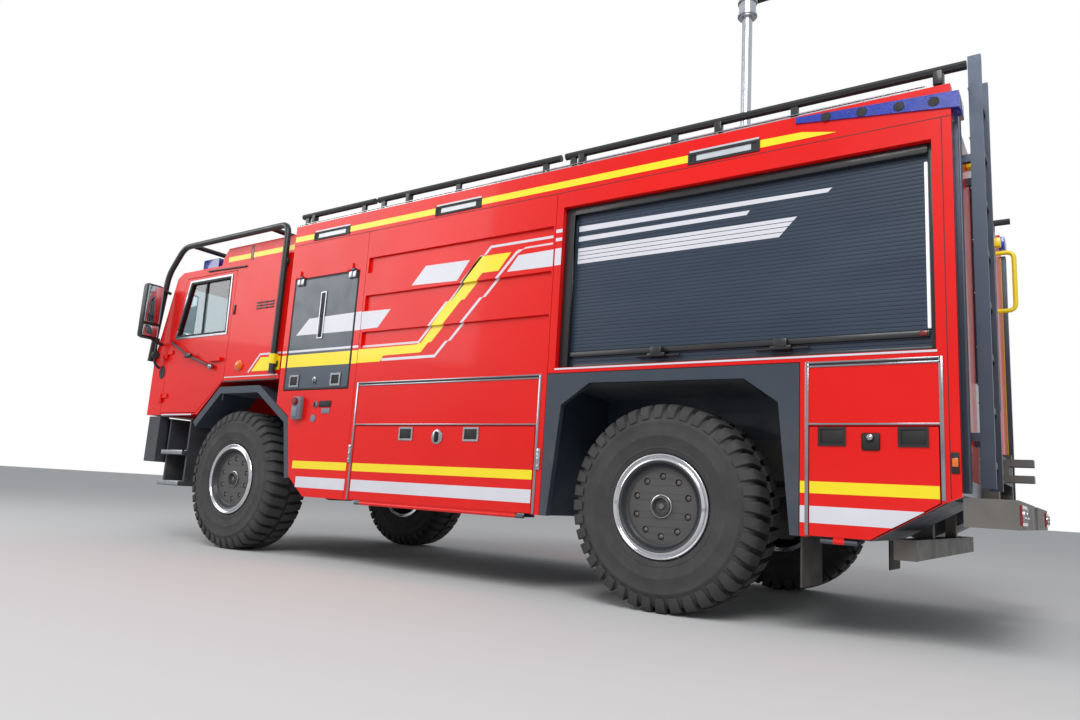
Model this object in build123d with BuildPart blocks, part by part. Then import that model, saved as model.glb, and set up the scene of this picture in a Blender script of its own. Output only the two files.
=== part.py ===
from build123d import *
from math import cos, radians, sin
import os

os.makedirs("parts", exist_ok=True)

# A four-wheel-drive fire truck. The origin is on the ground under the middle of its length and width.
# +X is the vehicle's left, +Y its rear and +Z up. All sizes are in millimetres.

# Overall sizes
front_overhang = 1510
wheelbase = 4040
rear_overhang = 1750
body_width = 2550
cab_width = 2480
rear_axle = (front_overhang + wheelbase + rear_overhang) / 2 - rear_overhang
front_axle = rear_axle - wheelbase
body_half = body_width / 2
cab_half = cab_width / 2
panel = 40
door_gap = 6
seat_gap = 0.3

# Wheels
tyre_radius = 585
tyre_width = 386
tyre_inset = 30
tread_width = 316
shoulder_radius = 556
bulge_radius = 440
lug_height = 27
lug_count = 40
rim_radius = 295
rim_sides = 30
rim_width = 366
rim_lip = 250
disc_radius = 212
disc_depth = 43
bowl_step = 3
disc_thickness = 40
barrel_radius = 265
cap_radius = 69
cap_height = 30
nut_circle = 335
nut_count = 10
nut_radius = 19
nut_height = 24
wheel_x = body_half - tyre_inset - tyre_width / 2

# Chassis
rail_inner = 400
rail_outer = 475
rail_bottom = 780
rail_top = 1030
axle_beam = 120
kingpin_offset = 192
kingpin_x = wheel_x - kingpin_offset
kingpin_radius = 25
drum_radius = 205
drum_sides = 20

# Cab stations, measured from the front axle
cab_front = front_axle - 1460
cab_rear = front_axle + 510
door_front = front_axle - 1224
door_step_rear = front_axle - 610
door_rear = front_axle - 265
cab_wall = 50
cab_bottom = 1140
cab_arch_top = 1430
belt_height = 1890
window_top = 2405
cab_roof = 2530
screen_base = 1700
screen_slope = 220

# Body stations, the front from the front axle and the rest from the rear axle
body_front = front_axle + 572
seam_front = body_front + 915
seam_rear = rear_axle - 785
body_rear = rear_axle + 1524
body_bottom = 484
arch_top = 1360
cornice_bottom = 2562
cornice_top = 2730
seam = 4


def box_between(x, y, z, mode=Mode.ADD):
    """A box between low and high values along each axis."""
    with Locations(((x[0] + x[1]) / 2, (y[0] + y[1]) / 2, (z[0] + z[1]) / 2)):
        Box(x[1] - x[0], y[1] - y[0], z[1] - z[0], mode=mode)


def side_corners(y, z):
    """The four corners of an upright rectangle, as (y, z) points of a side view."""
    return (y[0], z[0]), (y[1], z[0]), (y[1], z[1]), (y[0], z[1])


def side_plate(points, x, thickness, mode=Mode.ADD):
    """A plate with a side-view outline, from x inwards by its thickness."""
    with BuildSketch(Plane.YZ.offset(x)) as outline:
        Polygon(*points, align=None)
    extrude(outline.sketch, amount=-thickness, mode=mode)


def write_pair(name, left_part):
    """Writes a left piece and its mirror image on the right."""
    for side, piece in (("left", left_part), ("right", mirror(left_part, about=Plane.YZ))):
        piece.label = f"{name}_{side}"
        export_step(piece, f"parts/{name}_{side}.step")


# Chassis: two rails, cross members and a jaw for a tow pin
rail_front = front_axle - 1370
rail_rear = rear_axle + 1600
cross_width = 80
cross_stations = (rail_front + 120, front_axle + 1150, rear_axle - 1100, rear_axle + 760, rail_rear - 40)
cab_mount_x = (434, 466)
jaw_width = 120
jaw_length = 140
jaw_height = 130
jaw_slot = 50
tow_pin_radius = 20
jaw_z = rail_bottom + jaw_height / 2 + 60
with BuildPart() as chassis_frame:
    box_between((rail_inner, rail_outer), (rail_front, rail_rear), (rail_bottom, rail_top))
    mirror(about=Plane.YZ)
    for station in cross_stations:
        y = (station - cross_width / 2, station + cross_width / 2)
        box_between((-rail_inner, rail_inner), y, (rail_bottom + 50, rail_top - 50))
    for station in (door_front + 150, cab_rear - 70):
        y = (station - 50, station + 50)
        for sign in (1, -1):
            x = sorted((sign * cab_mount_x[0], sign * cab_mount_x[1]))
            box_between(x, y, (rail_top, cab_bottom))
    jaw_y = (rail_rear, rail_rear + jaw_length)
    box_between((-jaw_width / 2, jaw_width / 2), jaw_y, (jaw_z - jaw_height / 2, jaw_z + jaw_height / 2))
    box_between(
        (-jaw_width / 2, jaw_width / 2),
        (rail_rear + 20, rail_rear + jaw_length),
        (jaw_z - jaw_slot / 2, jaw_z + jaw_slot / 2),
        mode=Mode.SUBTRACT,
    )
    with Locations((0, rail_rear + jaw_length - 50, jaw_z)):
        Cylinder(tow_pin_radius, jaw_height, mode=Mode.SUBTRACT)
chassis_frame.part.label = "chassis_frame"
export_step(chassis_frame.part, "parts/chassis_frame.step")

# Engine: a plain block on four feet between the rails
engine_half = 330
engine_y = (front_axle - 860, front_axle + 240)
engine_bottom = 760
engine_top = 1400
with BuildPart() as engine:
    box_between((-engine_half, engine_half), engine_y, (engine_bottom, engine_top))
    for station in (engine_y[0] + 150, engine_y[1] - 150):
        y = (station - 50, station + 50)
        box_between((-rail_inner, rail_inner), y, (rail_bottom + 20, rail_bottom + 90))
engine.part.label = "engine"
export_step(engine.part, "parts/engine.step")

# Axles: a box beam with a differential, with kingpin eyes in front and fixed drums at the rear
beam_low = tyre_radius - axle_beam / 2
beam_high = tyre_radius + axle_beam / 2
differential_radius = 150
differential_width = 260
eye_radius = 62
eye_sides = 8
eye_height = 170
drum_inner = wheel_x - 70
drum_outer = wheel_x + 70
disc_back = wheel_x + rim_width / 2 - disc_depth - disc_thickness
hub_radius = 60


def drum(x, radius, station, length):
    """A drum of flats across the vehicle, centred on x at one axle."""
    with BuildSketch(Plane.YZ.offset(x - length / 2)) as circle:
        with Locations((station, tyre_radius)):
            RegularPolygon(radius, drum_sides)
    extrude(circle.sketch, amount=length)


with BuildPart() as front_axle_beam:
    box_between(
        (-kingpin_x, kingpin_x), (front_axle - axle_beam / 2, front_axle + axle_beam / 2), (beam_low, beam_high)
    )
    drum(0, differential_radius, front_axle, differential_width)
    for x in (kingpin_x, -kingpin_x):
        with BuildSketch(Plane.XY.offset(tyre_radius - eye_height / 2)) as eye:
            with Locations((x, front_axle)):
                RegularPolygon(eye_radius, eye_sides, major_radius=False)
        extrude(eye.sketch, amount=eye_height)
        with Locations((x, front_axle, tyre_radius)):
            Cylinder(kingpin_radius + seat_gap, eye_height, mode=Mode.SUBTRACT)
front_axle_beam.part.label = "front_axle"
export_step(front_axle_beam.part, "parts/front_axle.step")

with BuildPart() as rear_axle_beam:
    box_between(
        (-drum_outer, drum_outer), (rear_axle - axle_beam / 2, rear_axle + axle_beam / 2), (beam_low, beam_high)
    )
    drum(0, differential_radius, rear_axle, differential_width)
    for sign in (1, -1):
        drum(sign * wheel_x, drum_radius, rear_axle, drum_outer - drum_inner)
    with Locations(Location((0, rear_axle, tyre_radius), (0, 90, 0))):
        Cylinder(hub_radius, 2 * (disc_back - seat_gap))
rear_axle_beam.part.label = "rear_axle"
export_step(rear_axle_beam.part, "parts/rear_axle.step")

# Springs: a bent leaf pack under each rail, with a hanger at each end
spring_half_length = 600
spring_thickness = 45
spring_rise = 85
hanger = 40
with BuildPart() as springs:
    for axle in (front_axle, rear_axle):
        with BuildSketch(Plane.YZ.offset(rail_outer)) as leaf:
            with BuildLine():
                low_end = beam_high + spring_rise
                ThreePointArc(
                    (axle - spring_half_length, low_end),
                    (axle, beam_high),
                    (axle + spring_half_length, low_end),
                )
                Line((axle + spring_half_length, low_end), (axle + spring_half_length, low_end + 20))
                ThreePointArc(
                    (axle + spring_half_length, low_end + 20),
                    (axle, beam_high + spring_thickness),
                    (axle - spring_half_length, low_end + 20),
                )
                Line((axle - spring_half_length, low_end + 20), (axle - spring_half_length, low_end))
            make_face()
            for end in (-1, 1):
                inner = axle + end * (spring_half_length - hanger)
                outer = axle + end * spring_half_length
                Polygon(*side_corners((min(inner, outer), max(inner, outer)), (low_end, rail_bottom)), align=None)
        extrude(leaf.sketch, amount=rail_inner - rail_outer)
    mirror(about=Plane.YZ)
springs.part.label = "springs"
export_step(springs.part, "parts/springs.step")

# Steering knuckle: a fork on the kingpin, with the brake drum and the stub axle
fork_clearance = 18
fork_plate = kingpin_x + eye_radius + fork_clearance
arm_gap = 12
arm_thickness = 50
fork_half_height = eye_height / 2 + arm_gap + arm_thickness
with BuildPart() as knuckle:
    with Locations((kingpin_x, front_axle, tyre_radius)):
        Cylinder(kingpin_radius, 2 * fork_half_height)
    low = tyre_radius - fork_half_height
    high = tyre_radius + fork_half_height
    arm_y = (front_axle - 45, front_axle + 45)
    box_between((kingpin_x - 45, fork_plate + 35), arm_y, (high - arm_thickness, high))
    box_between((kingpin_x - 45, fork_plate + 35), arm_y, (low, low + arm_thickness))
    box_between((fork_plate, fork_plate + 35), arm_y, (low, high))
    with Locations(Location(((fork_plate + disc_back - seat_gap) / 2, front_axle, tyre_radius), (0, 90, 0))):
        Cylinder(hub_radius, disc_back - seat_gap - fork_plate)
    drum(wheel_x, drum_radius, front_axle, drum_outer - drum_inner)
write_pair("knuckle", knuckle.part)

# Tyres: a ring of lugs round a casing of flats, whose shoulders are bevelled down to flat sidewalls
lug_shape = ((0.0, 0), (0.1, 1), (0.56, 1), (0.66, 0))
lug_outline = []
for lug in range(lug_count):
    for share, rise in lug_shape:
        turn = radians((lug + share) * 360 / lug_count)
        reach = tyre_radius - (1 - rise) * lug_height
        lug_outline.append((reach * cos(turn), reach * sin(turn)))
for axle_name, axle in (("front", front_axle), ("rear", rear_axle)):
    with BuildPart() as tyre:
        with BuildSketch(Plane.YZ.offset(wheel_x - tyre_width / 2)) as casing:
            with Locations((axle, tyre_radius)):
                RegularPolygon(shoulder_radius, lug_count)
        extrude(casing.sketch, amount=tyre_width)
        for end in (0, -1):
            sidewall = tyre.faces().sort_by(Axis.X)[end]
            chamfer(
                sidewall.edges(),
                length=shoulder_radius - bulge_radius,
                length2=(tyre_width - tread_width) / 2,
                reference=sidewall,
            )
        with BuildSketch(Plane.YZ.offset(wheel_x - tread_width / 2)) as tread:
            with Locations((axle, tyre_radius)):
                Polygon(*lug_outline, align=None)
        extrude(tread.sketch, amount=tread_width)
        with BuildSketch(Plane.YZ.offset(wheel_x - tyre_width / 2)) as bore:
            with Locations((axle, tyre_radius)):
                RegularPolygon(rim_radius + seat_gap, rim_sides, major_radius=False)
        extrude(bore.sketch, amount=tyre_width, mode=Mode.SUBTRACT)
    write_pair(f"tyre_{axle_name}", tyre.part)

    # Rims: a barrel with a bevelled bowl in front, a deep disc with nuts and a hub cap
    face_x = wheel_x + rim_width / 2
    disc_x = face_x - disc_depth
    with BuildPart() as rim:
        with BuildSketch(Plane.YZ.offset(face_x)) as barrel:
            with Locations((axle, tyre_radius)):
                RegularPolygon(rim_radius, rim_sides, major_radius=False)
        extrude(barrel.sketch, amount=-rim_width)
        with BuildSketch(Plane.YZ.offset(face_x)) as bowl:
            with Locations((axle, tyre_radius)):
                RegularPolygon(disc_radius, rim_sides, major_radius=False)
        extrude(bowl.sketch, amount=-disc_depth, mode=Mode.SUBTRACT)
        lip_face = rim.faces().sort_by(Axis.X)[-1]
        chamfer(
            lip_face.inner_wires()[0].edges(),
            length=rim_lip - disc_radius,
            length2=disc_depth - bowl_step,
            reference=lip_face,
        )
        with BuildSketch(Plane.YZ.offset(face_x - rim_width)) as back:
            with Locations((axle, tyre_radius)):
                RegularPolygon(barrel_radius, rim_sides, major_radius=False)
        extrude(back.sketch, amount=rim_width - disc_depth - disc_thickness, mode=Mode.SUBTRACT)
        with BuildSketch(Plane.YZ.offset(disc_x)) as cap:
            with Locations((axle, tyre_radius)):
                Circle(cap_radius)
        extrude(cap.sketch, amount=cap_height)
        with BuildSketch(Plane.YZ.offset(disc_x)) as nuts:
            with Locations((axle, tyre_radius)):
                with PolarLocations(nut_circle / 2, nut_count):
                    RegularPolygon(nut_radius, 6)
        extrude(nuts.sketch, amount=nut_height)
    write_pair(f"rim_{axle_name}", rim.part)

# Cab shell: floor, walls and roof in one, with door and windscreen openings and a tunnel over the engine
cab_profile = (
    (cab_front, cab_bottom),
    (door_step_rear, cab_bottom),
    (door_rear - 20, cab_arch_top),
    (cab_rear, cab_arch_top),
    (cab_rear, cab_roof),
    (cab_front + screen_slope + 90, cab_roof),
    (cab_front + screen_slope, cab_roof - 50),
    (cab_front, screen_base),
)
door_profile = (
    (door_front, cab_bottom + 20),
    (door_step_rear - 30, cab_bottom + 20),
    (door_rear - 10, cab_arch_top + 20),
    (door_rear, window_top + 50),
    (door_front + 165, window_top + 50),
    (door_front, belt_height - 60),
)
tunnel_half = 430
tunnel_top = 1440
tunnel_wall = 40
screen_low = 1760
screen_high = 2420
screen_half = cab_half - 130
hinge_radius = 12
barrel_sides = 8
cab_hinge_heights = (1300, 1720)
cab_hinge_x = cab_half + hinge_radius + 2
cab_hinge_y = door_front - door_gap / 2
barrel_length = 40
barrel_step = (barrel_length + seat_gap) / 2
with BuildPart() as cab_shell:
    side_plate(cab_profile, cab_half, cab_width)
    with BuildSketch(Plane.YZ.offset(cab_half - cab_wall)) as inside:
        Polygon(*cab_profile, align=None)
        offset(amount=-cab_wall, kind=Kind.INTERSECTION, mode=Mode.REPLACE)
    extrude(inside.sketch, amount=-(cab_width - 2 * cab_wall), mode=Mode.SUBTRACT)
    tunnel_y = (engine_y[0] - 60, cab_rear)
    outer = tunnel_half + tunnel_wall
    box_between((-outer, outer), (tunnel_y[0] - tunnel_wall, cab_rear), (cab_bottom, tunnel_top + tunnel_wall))
    box_between((-tunnel_half, tunnel_half), tunnel_y, (cab_bottom, tunnel_top), mode=Mode.SUBTRACT)
    box_between(
        (-screen_half, screen_half),
        (cab_front - 50, cab_front + screen_slope + 120),
        (screen_low, screen_high),
        mode=Mode.SUBTRACT,
    )
    with BuildSketch(Plane.YZ.offset(cab_half)) as door_hole:
        Polygon(*door_profile, align=None)
        offset(amount=door_gap, kind=Kind.INTERSECTION, mode=Mode.REPLACE)
    extrude(door_hole.sketch, amount=-cab_wall, mode=Mode.SUBTRACT)
    with BuildSketch(Plane.YZ.offset(-cab_half)) as far_door_hole:
        Polygon(*door_profile, align=None)
        offset(amount=door_gap, kind=Kind.INTERSECTION, mode=Mode.REPLACE)
    extrude(far_door_hole.sketch, amount=cab_wall, mode=Mode.SUBTRACT)
    for sign in (1, -1):
        for height in cab_hinge_heights:
            z = height - barrel_step
            with BuildSketch(Plane.XY.offset(z - barrel_length / 2)) as fixed_barrel:
                with Locations((sign * cab_hinge_x, cab_hinge_y)):
                    RegularPolygon(hinge_radius, barrel_sides)
            extrude(fixed_barrel.sketch, amount=barrel_length)
            x = sorted((sign * cab_half, sign * cab_hinge_x))
            box_between(x, (cab_hinge_y - 60, cab_hinge_y), (z - barrel_length / 2, z + barrel_length / 2))
cab_shell.part.label = "cab_shell"
export_step(cab_shell.part, "parts/cab_shell.step")

# Cab doors: thick panels with a cut window, each on two outside hinges at its front edge
window_profile = (
    (door_front + 112, belt_height),
    (door_rear - 66, belt_height),
    (door_rear - 84, window_top),
    (door_front + 248, window_top),
)
glass = 8
glass_inset = 18
handle_reach = 30
handle_z = belt_height - 270
with BuildPart() as cab_door:
    side_plate(door_profile, cab_half, cab_wall)
    side_plate(window_profile, cab_half, cab_wall, mode=Mode.SUBTRACT)
    for height in cab_hinge_heights:
        z = height + barrel_step
        with Locations((cab_hinge_x, cab_hinge_y, z)):
            Cylinder(hinge_radius, barrel_length)
        leaf_z = (z - barrel_length / 2, z + barrel_length / 2)
        box_between((cab_half, cab_hinge_x), (cab_hinge_y, cab_hinge_y + 90), leaf_z)
    handle_y = (door_rear - 230, door_rear - 60)
    box_between((cab_half, cab_half + handle_reach), handle_y, (handle_z, handle_z + 30))
write_pair("cab_door", cab_door.part)

with BuildPart() as door_glass:
    side_plate(window_profile, cab_half - glass_inset, glass)
write_pair("door_glass", door_glass.part)

# Windscreen: one sloping pane in the front opening
screen_rate = screen_slope / (cab_roof - 50 - screen_base)
screen_foot = cab_front + glass_inset + (screen_low - screen_base) * screen_rate
screen_head = cab_front + glass_inset + (screen_high - screen_base) * screen_rate
with BuildPart() as windscreen:
    pane = (
        (screen_foot, screen_low),
        (screen_foot + glass, screen_low),
        (screen_head + glass, screen_high),
        (screen_head, screen_high),
    )
    side_plate(pane, screen_half, 2 * screen_half)
windscreen.part.label = "windscreen"
export_step(windscreen.part, "parts/windscreen.step")

# Seats: two in front on pedestals before the wheel arches and two behind, each a cushion and a back in one
seat_width = 460
seat_x = cab_half - 480
seat_depth = 480
seat_cushion = 120
seat_back = 680
seat_back_depth = 110
front_seat = front_axle - 840
rear_seat = cab_rear - cab_wall - seat_depth
pedestal_y = (front_axle - 800, front_axle - 650)
cab_floor = cab_bottom + cab_wall
raised_floor = cab_arch_top + cab_wall
with BuildPart() as seats:
    for sign in (1, -1):
        x = (sign * seat_x - seat_width / 2, sign * seat_x + seat_width / 2)
        for station in (front_seat, rear_seat):
            back_y = (station + seat_depth - seat_back_depth, station + seat_depth)
            box_between(x, (station, station + seat_depth), (raised_floor, raised_floor + seat_cushion))
            box_between(x, back_y, (raised_floor, raised_floor + seat_cushion + seat_back))
        box_between((x[0] + 60, x[1] - 60), pedestal_y, (cab_floor, raised_floor))
seats.part.label = "seats"
export_step(seats.part, "parts/seats.step")

# Dashboard across the cab under the windscreen, with the steering wheel on its column
dash_depth = 320
dash_top = 1740
steering_radius = 210
steering_x = cab_half - 540
steering_sides = 24
steering_rim = 32
steering_hub = 60
with BuildPart() as dashboard:
    dash_y = (cab_front + cab_wall, cab_front + cab_wall + dash_depth)
    inner_half = cab_half - cab_wall
    dash_profile = (
        (cab_front + cab_wall, 1420),
        (cab_front + cab_wall + dash_depth - 90, 1420),
        (cab_front + cab_wall + dash_depth, 1560),
        (cab_front + cab_wall + dash_depth - 60, dash_top - 40),
        (cab_front + cab_wall + 30, dash_top),
        (cab_front + cab_wall, screen_base - 10),
    )
    side_plate(dash_profile, inner_half, 2 * inner_half)
    column = Plane(origin=(steering_x, dash_y[1] - 20, 1680), x_dir=(1, 0, 0), z_dir=(0, 0.62, 0.78))
    with BuildSketch(column) as shaft:
        Circle(32)
    extrude(shaft.sketch, amount=130)
    extrude(shaft.sketch, amount=-90)
    with BuildSketch(column.offset(130)) as wheel_rim:
        RegularPolygon(steering_radius, steering_sides)
        RegularPolygon(steering_radius - steering_rim, steering_sides, mode=Mode.SUBTRACT)
        Rectangle(2 * steering_radius - steering_rim, steering_rim)
        RegularPolygon(steering_hub, 8)
    extrude(wheel_rim.sketch, amount=30)
dashboard.part.label = "dashboard"
export_step(dashboard.part, "parts/dashboard.step")

# Front bumper: a bar with swept-back ends, with pockets for the headlamps
bumper_front = front_axle - front_overhang
bumper_depth = 140
bumper_low = 700
bumper_high = 1125
bumper_wing = 300
lamp_width = 330
lamp_height = 150
lamp_x = cab_half - 280
lamp_z = 960
lamp_pocket = 60
with BuildPart() as front_bumper:
    box_between((-cab_half, cab_half), (bumper_front, rail_front), (bumper_low, bumper_high))
    for sign in (1, -1):
        x = sorted((sign * cab_half, sign * (cab_half - 90)))
        box_between(x, (bumper_front, rail_front + bumper_wing - 140), (bumper_low, bumper_high))
        pocket_x = (sign * lamp_x - lamp_width / 2, sign * lamp_x + lamp_width / 2)
        pocket_z = (lamp_z - lamp_height / 2, lamp_z + lamp_height / 2)
        box_between(pocket_x, (bumper_front, bumper_front + lamp_pocket), pocket_z, mode=Mode.SUBTRACT)
    for sign in (1, -1):
        with BuildSketch(Plane.XY.offset(bumper_low)) as corner_cut:
            Polygon(
                (sign * cab_half, bumper_front),
                (sign * (cab_half - 150), bumper_front),
                (sign * cab_half, bumper_front + 110),
                align=None,
            )
        extrude(corner_cut.sketch, amount=bumper_high - bumper_low, mode=Mode.SUBTRACT)
front_bumper.part.label = "front_bumper"
export_step(front_bumper.part, "parts/front_bumper.step")

# Grille: a frame with bars across the nose of the cab
grille_half = cab_half - 480
grille_low = 1190
grille_high = 1600
grille_depth = 26
grille_bars = 5
grille_edge = 40
with BuildPart() as grille:
    box_between((-grille_half, grille_half), (cab_front - grille_depth, cab_front), (grille_low, grille_high))
    gap = (grille_high - grille_low - 2 * grille_edge) / (grille_bars + 0.5)
    for bar in range(grille_bars + 1):
        z = grille_low + grille_edge + bar * gap
        slot_z = (z, z + gap / 2)
        x = (-grille_half + grille_edge, grille_half - grille_edge)
        box_between(x, (cab_front - grille_depth, cab_front - 8), slot_z, mode=Mode.SUBTRACT)
grille.part.label = "grille"
export_step(grille.part, "parts/grille.step")

# Cab steps: two treads in a side frame below each door, on an arm from the rail
step_y = (door_front + 95, door_front + 450)
step_heights = (530, 810)
step_thickness = 40
step_inner = cab_half - 290
step_cheek = 24
with BuildPart() as cab_steps:
    for height in step_heights:
        box_between((step_inner, cab_half - 10), step_y, (height - step_thickness, height))
    for y in (step_y[0], step_y[1] - step_cheek):
        cheek_z = (step_heights[0] - step_thickness, cab_bottom - 40)
        box_between((step_inner, cab_half - 60), (y, y + step_cheek), cheek_z)
    box_between((rail_outer, step_inner + 60), (step_y[0] + 80, step_y[0] + 160), (rail_bottom + 30, rail_bottom + 90))
    box_between((step_inner, step_inner + 20), step_y, (step_heights[0] - step_thickness, cab_bottom - 40))
    mirror(about=Plane.YZ)
cab_steps.part.label = "cab_steps"
export_step(cab_steps.part, "parts/cab_steps.step")

# Mirrors: a tall housing on two arms from the front corner of the cab
mirror_x = cab_half + 165
mirror_width = 190
mirror_y = (door_front - 175, door_front - 85)
mirror_z = (1850, 2400)
mirror_arm = 14
with BuildPart() as mirrors:
    x = (mirror_x - mirror_width / 2, mirror_x + mirror_width / 2)
    box_between(x, mirror_y, mirror_z)
    arm_y = (mirror_y[0] + mirror_y[1]) / 2
    for z in (mirror_z[0] + 60, mirror_z[1] - 60):
        box_between((cab_half, mirror_x), (arm_y - mirror_arm, arm_y + mirror_arm), (z - mirror_arm, z + mirror_arm))
    mirror(about=Plane.YZ)
mirrors.part.label = "mirrors"
export_step(mirrors.part, "parts/mirrors.step")

# Tube cage: a hoop each side from the front of the cab over its edge and down its rear corner
cage_radius = 26
tube_sides = 8
cage_x = cab_half + cage_radius + 6
cage_post = cab_rear - 60
cage_top = 2780
cage_low = 1480
cage_front = cab_front + 90
cage_bend = 110
cage_shoulder = cab_front + 270
cage_foot = bumper_high + 540
cage_mounts = (cage_low + 80, cage_top - 330)
cross_tubes = (cab_front + 450, cage_post - 250)
with BuildPart() as tube_cage:
    with BuildLine() as cage_path:
        FilletPolyline(
            (cage_x, cage_post, cage_low),
            (cage_x, cage_post, cage_top),
            (cage_x, cage_shoulder, cage_top),
            (cage_x, cage_front - 30, cage_top - 330),
            (cage_x, cage_front - 110, cage_foot),
            radius=cage_bend,
        )
    with BuildSketch(Plane(origin=cage_path.line @ 0, z_dir=cage_path.line % 0)) as cage_section:
        RegularPolygon(cage_radius, tube_sides)
    sweep(cage_section.sketch, path=cage_path.line)
    for z in cage_mounts:
        box_between((cab_half, cage_x), (cage_post - 40, cage_post + 40), (z - 25, z + 25))
    box_between((cab_half, cage_x), (cage_front - 95, cage_front - 45), (belt_height + 10, belt_height + 60))
    mirror(about=Plane.YZ)
    for y in cross_tubes:
        with BuildSketch(Plane.YZ.offset(-cage_x)) as cross_section:
            with Locations((y, cage_top)):
                RegularPolygon(cage_radius - 4, tube_sides)
        extrude(cross_section.sketch, amount=2 * cage_x)
tube_cage.part.label = "tube_cage"
export_step(tube_cage.part, "parts/tube_cage.step")

# Raised roof box on the cab, with blue lamps in front of it
roof_box_front = door_front + 650
roof_box_top = 2715
roof_box_half = cab_half - 60
beacon_y = (door_front + 210, door_front + 460)
beacon_x = (cab_half - 480, cab_half - 110)
beacon_top = 2670
with BuildPart() as roof_box:
    roof_profile = (
        (roof_box_front - 60, cab_roof),
        (cab_rear, cab_roof),
        (cab_rear, roof_box_top),
        (roof_box_front + 40, roof_box_top),
        (roof_box_front - 20, cab_roof + 110),
    )
    side_plate(roof_profile, roof_box_half, 2 * roof_box_half)
roof_box.part.label = "roof_box"
export_step(roof_box.part, "parts/roof_box.step")

with BuildPart() as blue_lamps:
    box_between(beacon_x, beacon_y, (cab_roof, beacon_top))
    mirror(about=Plane.YZ)
blue_lamps.part.label = "blue_lamps"
export_step(blue_lamps.part, "parts/blue_lamps.step")

# Body modules: a subframe on the rails, lockers in front, a tank, a rear block and skirts round lower lockers
frame_half = body_half - panel
locker_depth = 735
locker_wall = frame_half - locker_depth
skirt_inner = rail_outer + 15
frame_front = body_front + 28
frame_rear = body_rear - panel
sub_bottom = 1300
hatch_y = (body_front + 61, seam_front - 67)
hatch_z = (1316, 2260)
shutter_y = (seam_rear + 55, body_rear - 91)
shutter_z = (1397, 2456)
shutter_recess = 70
shutter_thickness = 25
curtain_depth = shutter_recess + shutter_thickness
rear_shutter_half = 560
rear_shutter_z = (1330, 2400)
flap_y = (seam_front + 56, seam_rear - 64)
flap_z = (body_bottom, 1035)
rear_flap_y = (rear_axle + 838, body_rear - 83)
tail_cut = ((rear_axle + 1130, body_bottom), (body_rear - 79, body_bottom + 192), (body_rear, body_bottom + 228))
arch_hole = (
    (rear_axle - 734, body_bottom - 40),
    (rear_axle - 734, body_bottom),
    (rear_axle - 669, 1163),
    (rear_axle - 472, 1296),
    (rear_axle + 496, 1289),
    (rear_axle + 683, 1157),
    (rear_axle + 748, body_bottom),
    (rear_axle + 748, body_bottom - 40),
)
arch_rear = rear_axle + 793
nose_cut = ((body_front, 1215), (front_axle + 740, 1110), (front_axle + 830, 630), (front_axle + 1020, body_bottom))
floor_thickness = 25
hinge_drop = 12
mast_shaft = 80
module_z = (sub_bottom, cornice_bottom)
with BuildPart() as subframe:
    box_between((-rail_outer, rail_outer), (frame_front, frame_rear), (rail_top, sub_bottom))
subframe.part.label = "subframe"
export_step(subframe.part, "parts/subframe.step")

with BuildPart() as front_lockers:
    box_between((-frame_half, frame_half), (frame_front, seam_front), module_z)
    for x in ((locker_wall, frame_half), (-frame_half, -locker_wall)):
        box_between(x, hatch_y, hatch_z, mode=Mode.SUBTRACT)
front_lockers.part.label = "front_lockers"
export_step(front_lockers.part, "parts/front_lockers.step")

with BuildPart() as water_tank:
    box_between((-frame_half, frame_half), (seam_front, seam_rear), module_z)
water_tank.part.label = "water_tank"
export_step(water_tank.part, "parts/water_tank.step")

with BuildPart() as rear_block:
    box_between((-frame_half, frame_half), (seam_rear, frame_rear), module_z)
    curtain_back = body_half - curtain_depth
    for x in ((curtain_back, frame_half), (-frame_half, -curtain_back)):
        box_between(x, shutter_y, shutter_z, mode=Mode.SUBTRACT)
    box_between(
        (-rear_shutter_half, rear_shutter_half),
        (body_rear - curtain_depth, frame_rear),
        rear_shutter_z,
        mode=Mode.SUBTRACT,
    )
    with Locations((0, rear_axle, (module_z[0] + module_z[1]) / 2)):
        Box(2 * mast_shaft, 2 * mast_shaft, module_z[1] - module_z[0], mode=Mode.SUBTRACT)
rear_block.part.label = "rear_block"
export_step(rear_block.part, "parts/rear_block.step")

# Hinges with a moving barrel along the opening edge and a fixed one beside it or at each end
hatch_hinge_z = hatch_z[1] + 2
hatch_hinge_x = body_half + hinge_radius + 2
hatch_hinges = (hatch_y[0] + 77, hatch_y[1] - 80)
flap_hinge_x = body_half - hinge_drop
flap_hinge_z = body_bottom - hinge_radius - 4
flap_hinge_end = 120
fixed_barrel_length = 60


def fixed_hinge(y, x, z, length):
    """A fixed barrel of flats along Y."""
    with BuildSketch(Plane.XZ.offset(-y)) as barrel_line:
        with Locations((x, z)):
            RegularPolygon(hinge_radius, barrel_sides)
    extrude(barrel_line.sketch, amount=length / 2, both=True)


skirt_outlines = (
    (
        (frame_front, nose_cut[0][1] + 20),
        (nose_cut[1][0] + 20, nose_cut[1][1] + 10),
        (nose_cut[2][0] + 20, nose_cut[2][1] + 10),
        (nose_cut[3][0] + 10, body_bottom),
        (seam_rear - 5, body_bottom),
        (seam_rear - 5, sub_bottom),
        (frame_front, sub_bottom),
    ),
    (
        (rear_flap_y[0] - 40, body_bottom),
        tail_cut[0],
        (frame_rear, tail_cut[1][1] + 18),
        (frame_rear, sub_bottom),
        (rear_flap_y[0] - 40, sub_bottom),
    ),
)
low_floor = body_bottom + floor_thickness
tail_locker = (
    (rear_flap_y[0], low_floor),
    (tail_cut[0][0] - 10, low_floor),
    (rear_flap_y[1], tail_cut[1][1] + floor_thickness),
    (rear_flap_y[1], flap_z[1]),
    (rear_flap_y[0], flap_z[1]),
)
flap_hinge_runs = (flap_y, (rear_flap_y[0], tail_cut[0][0]))
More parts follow.
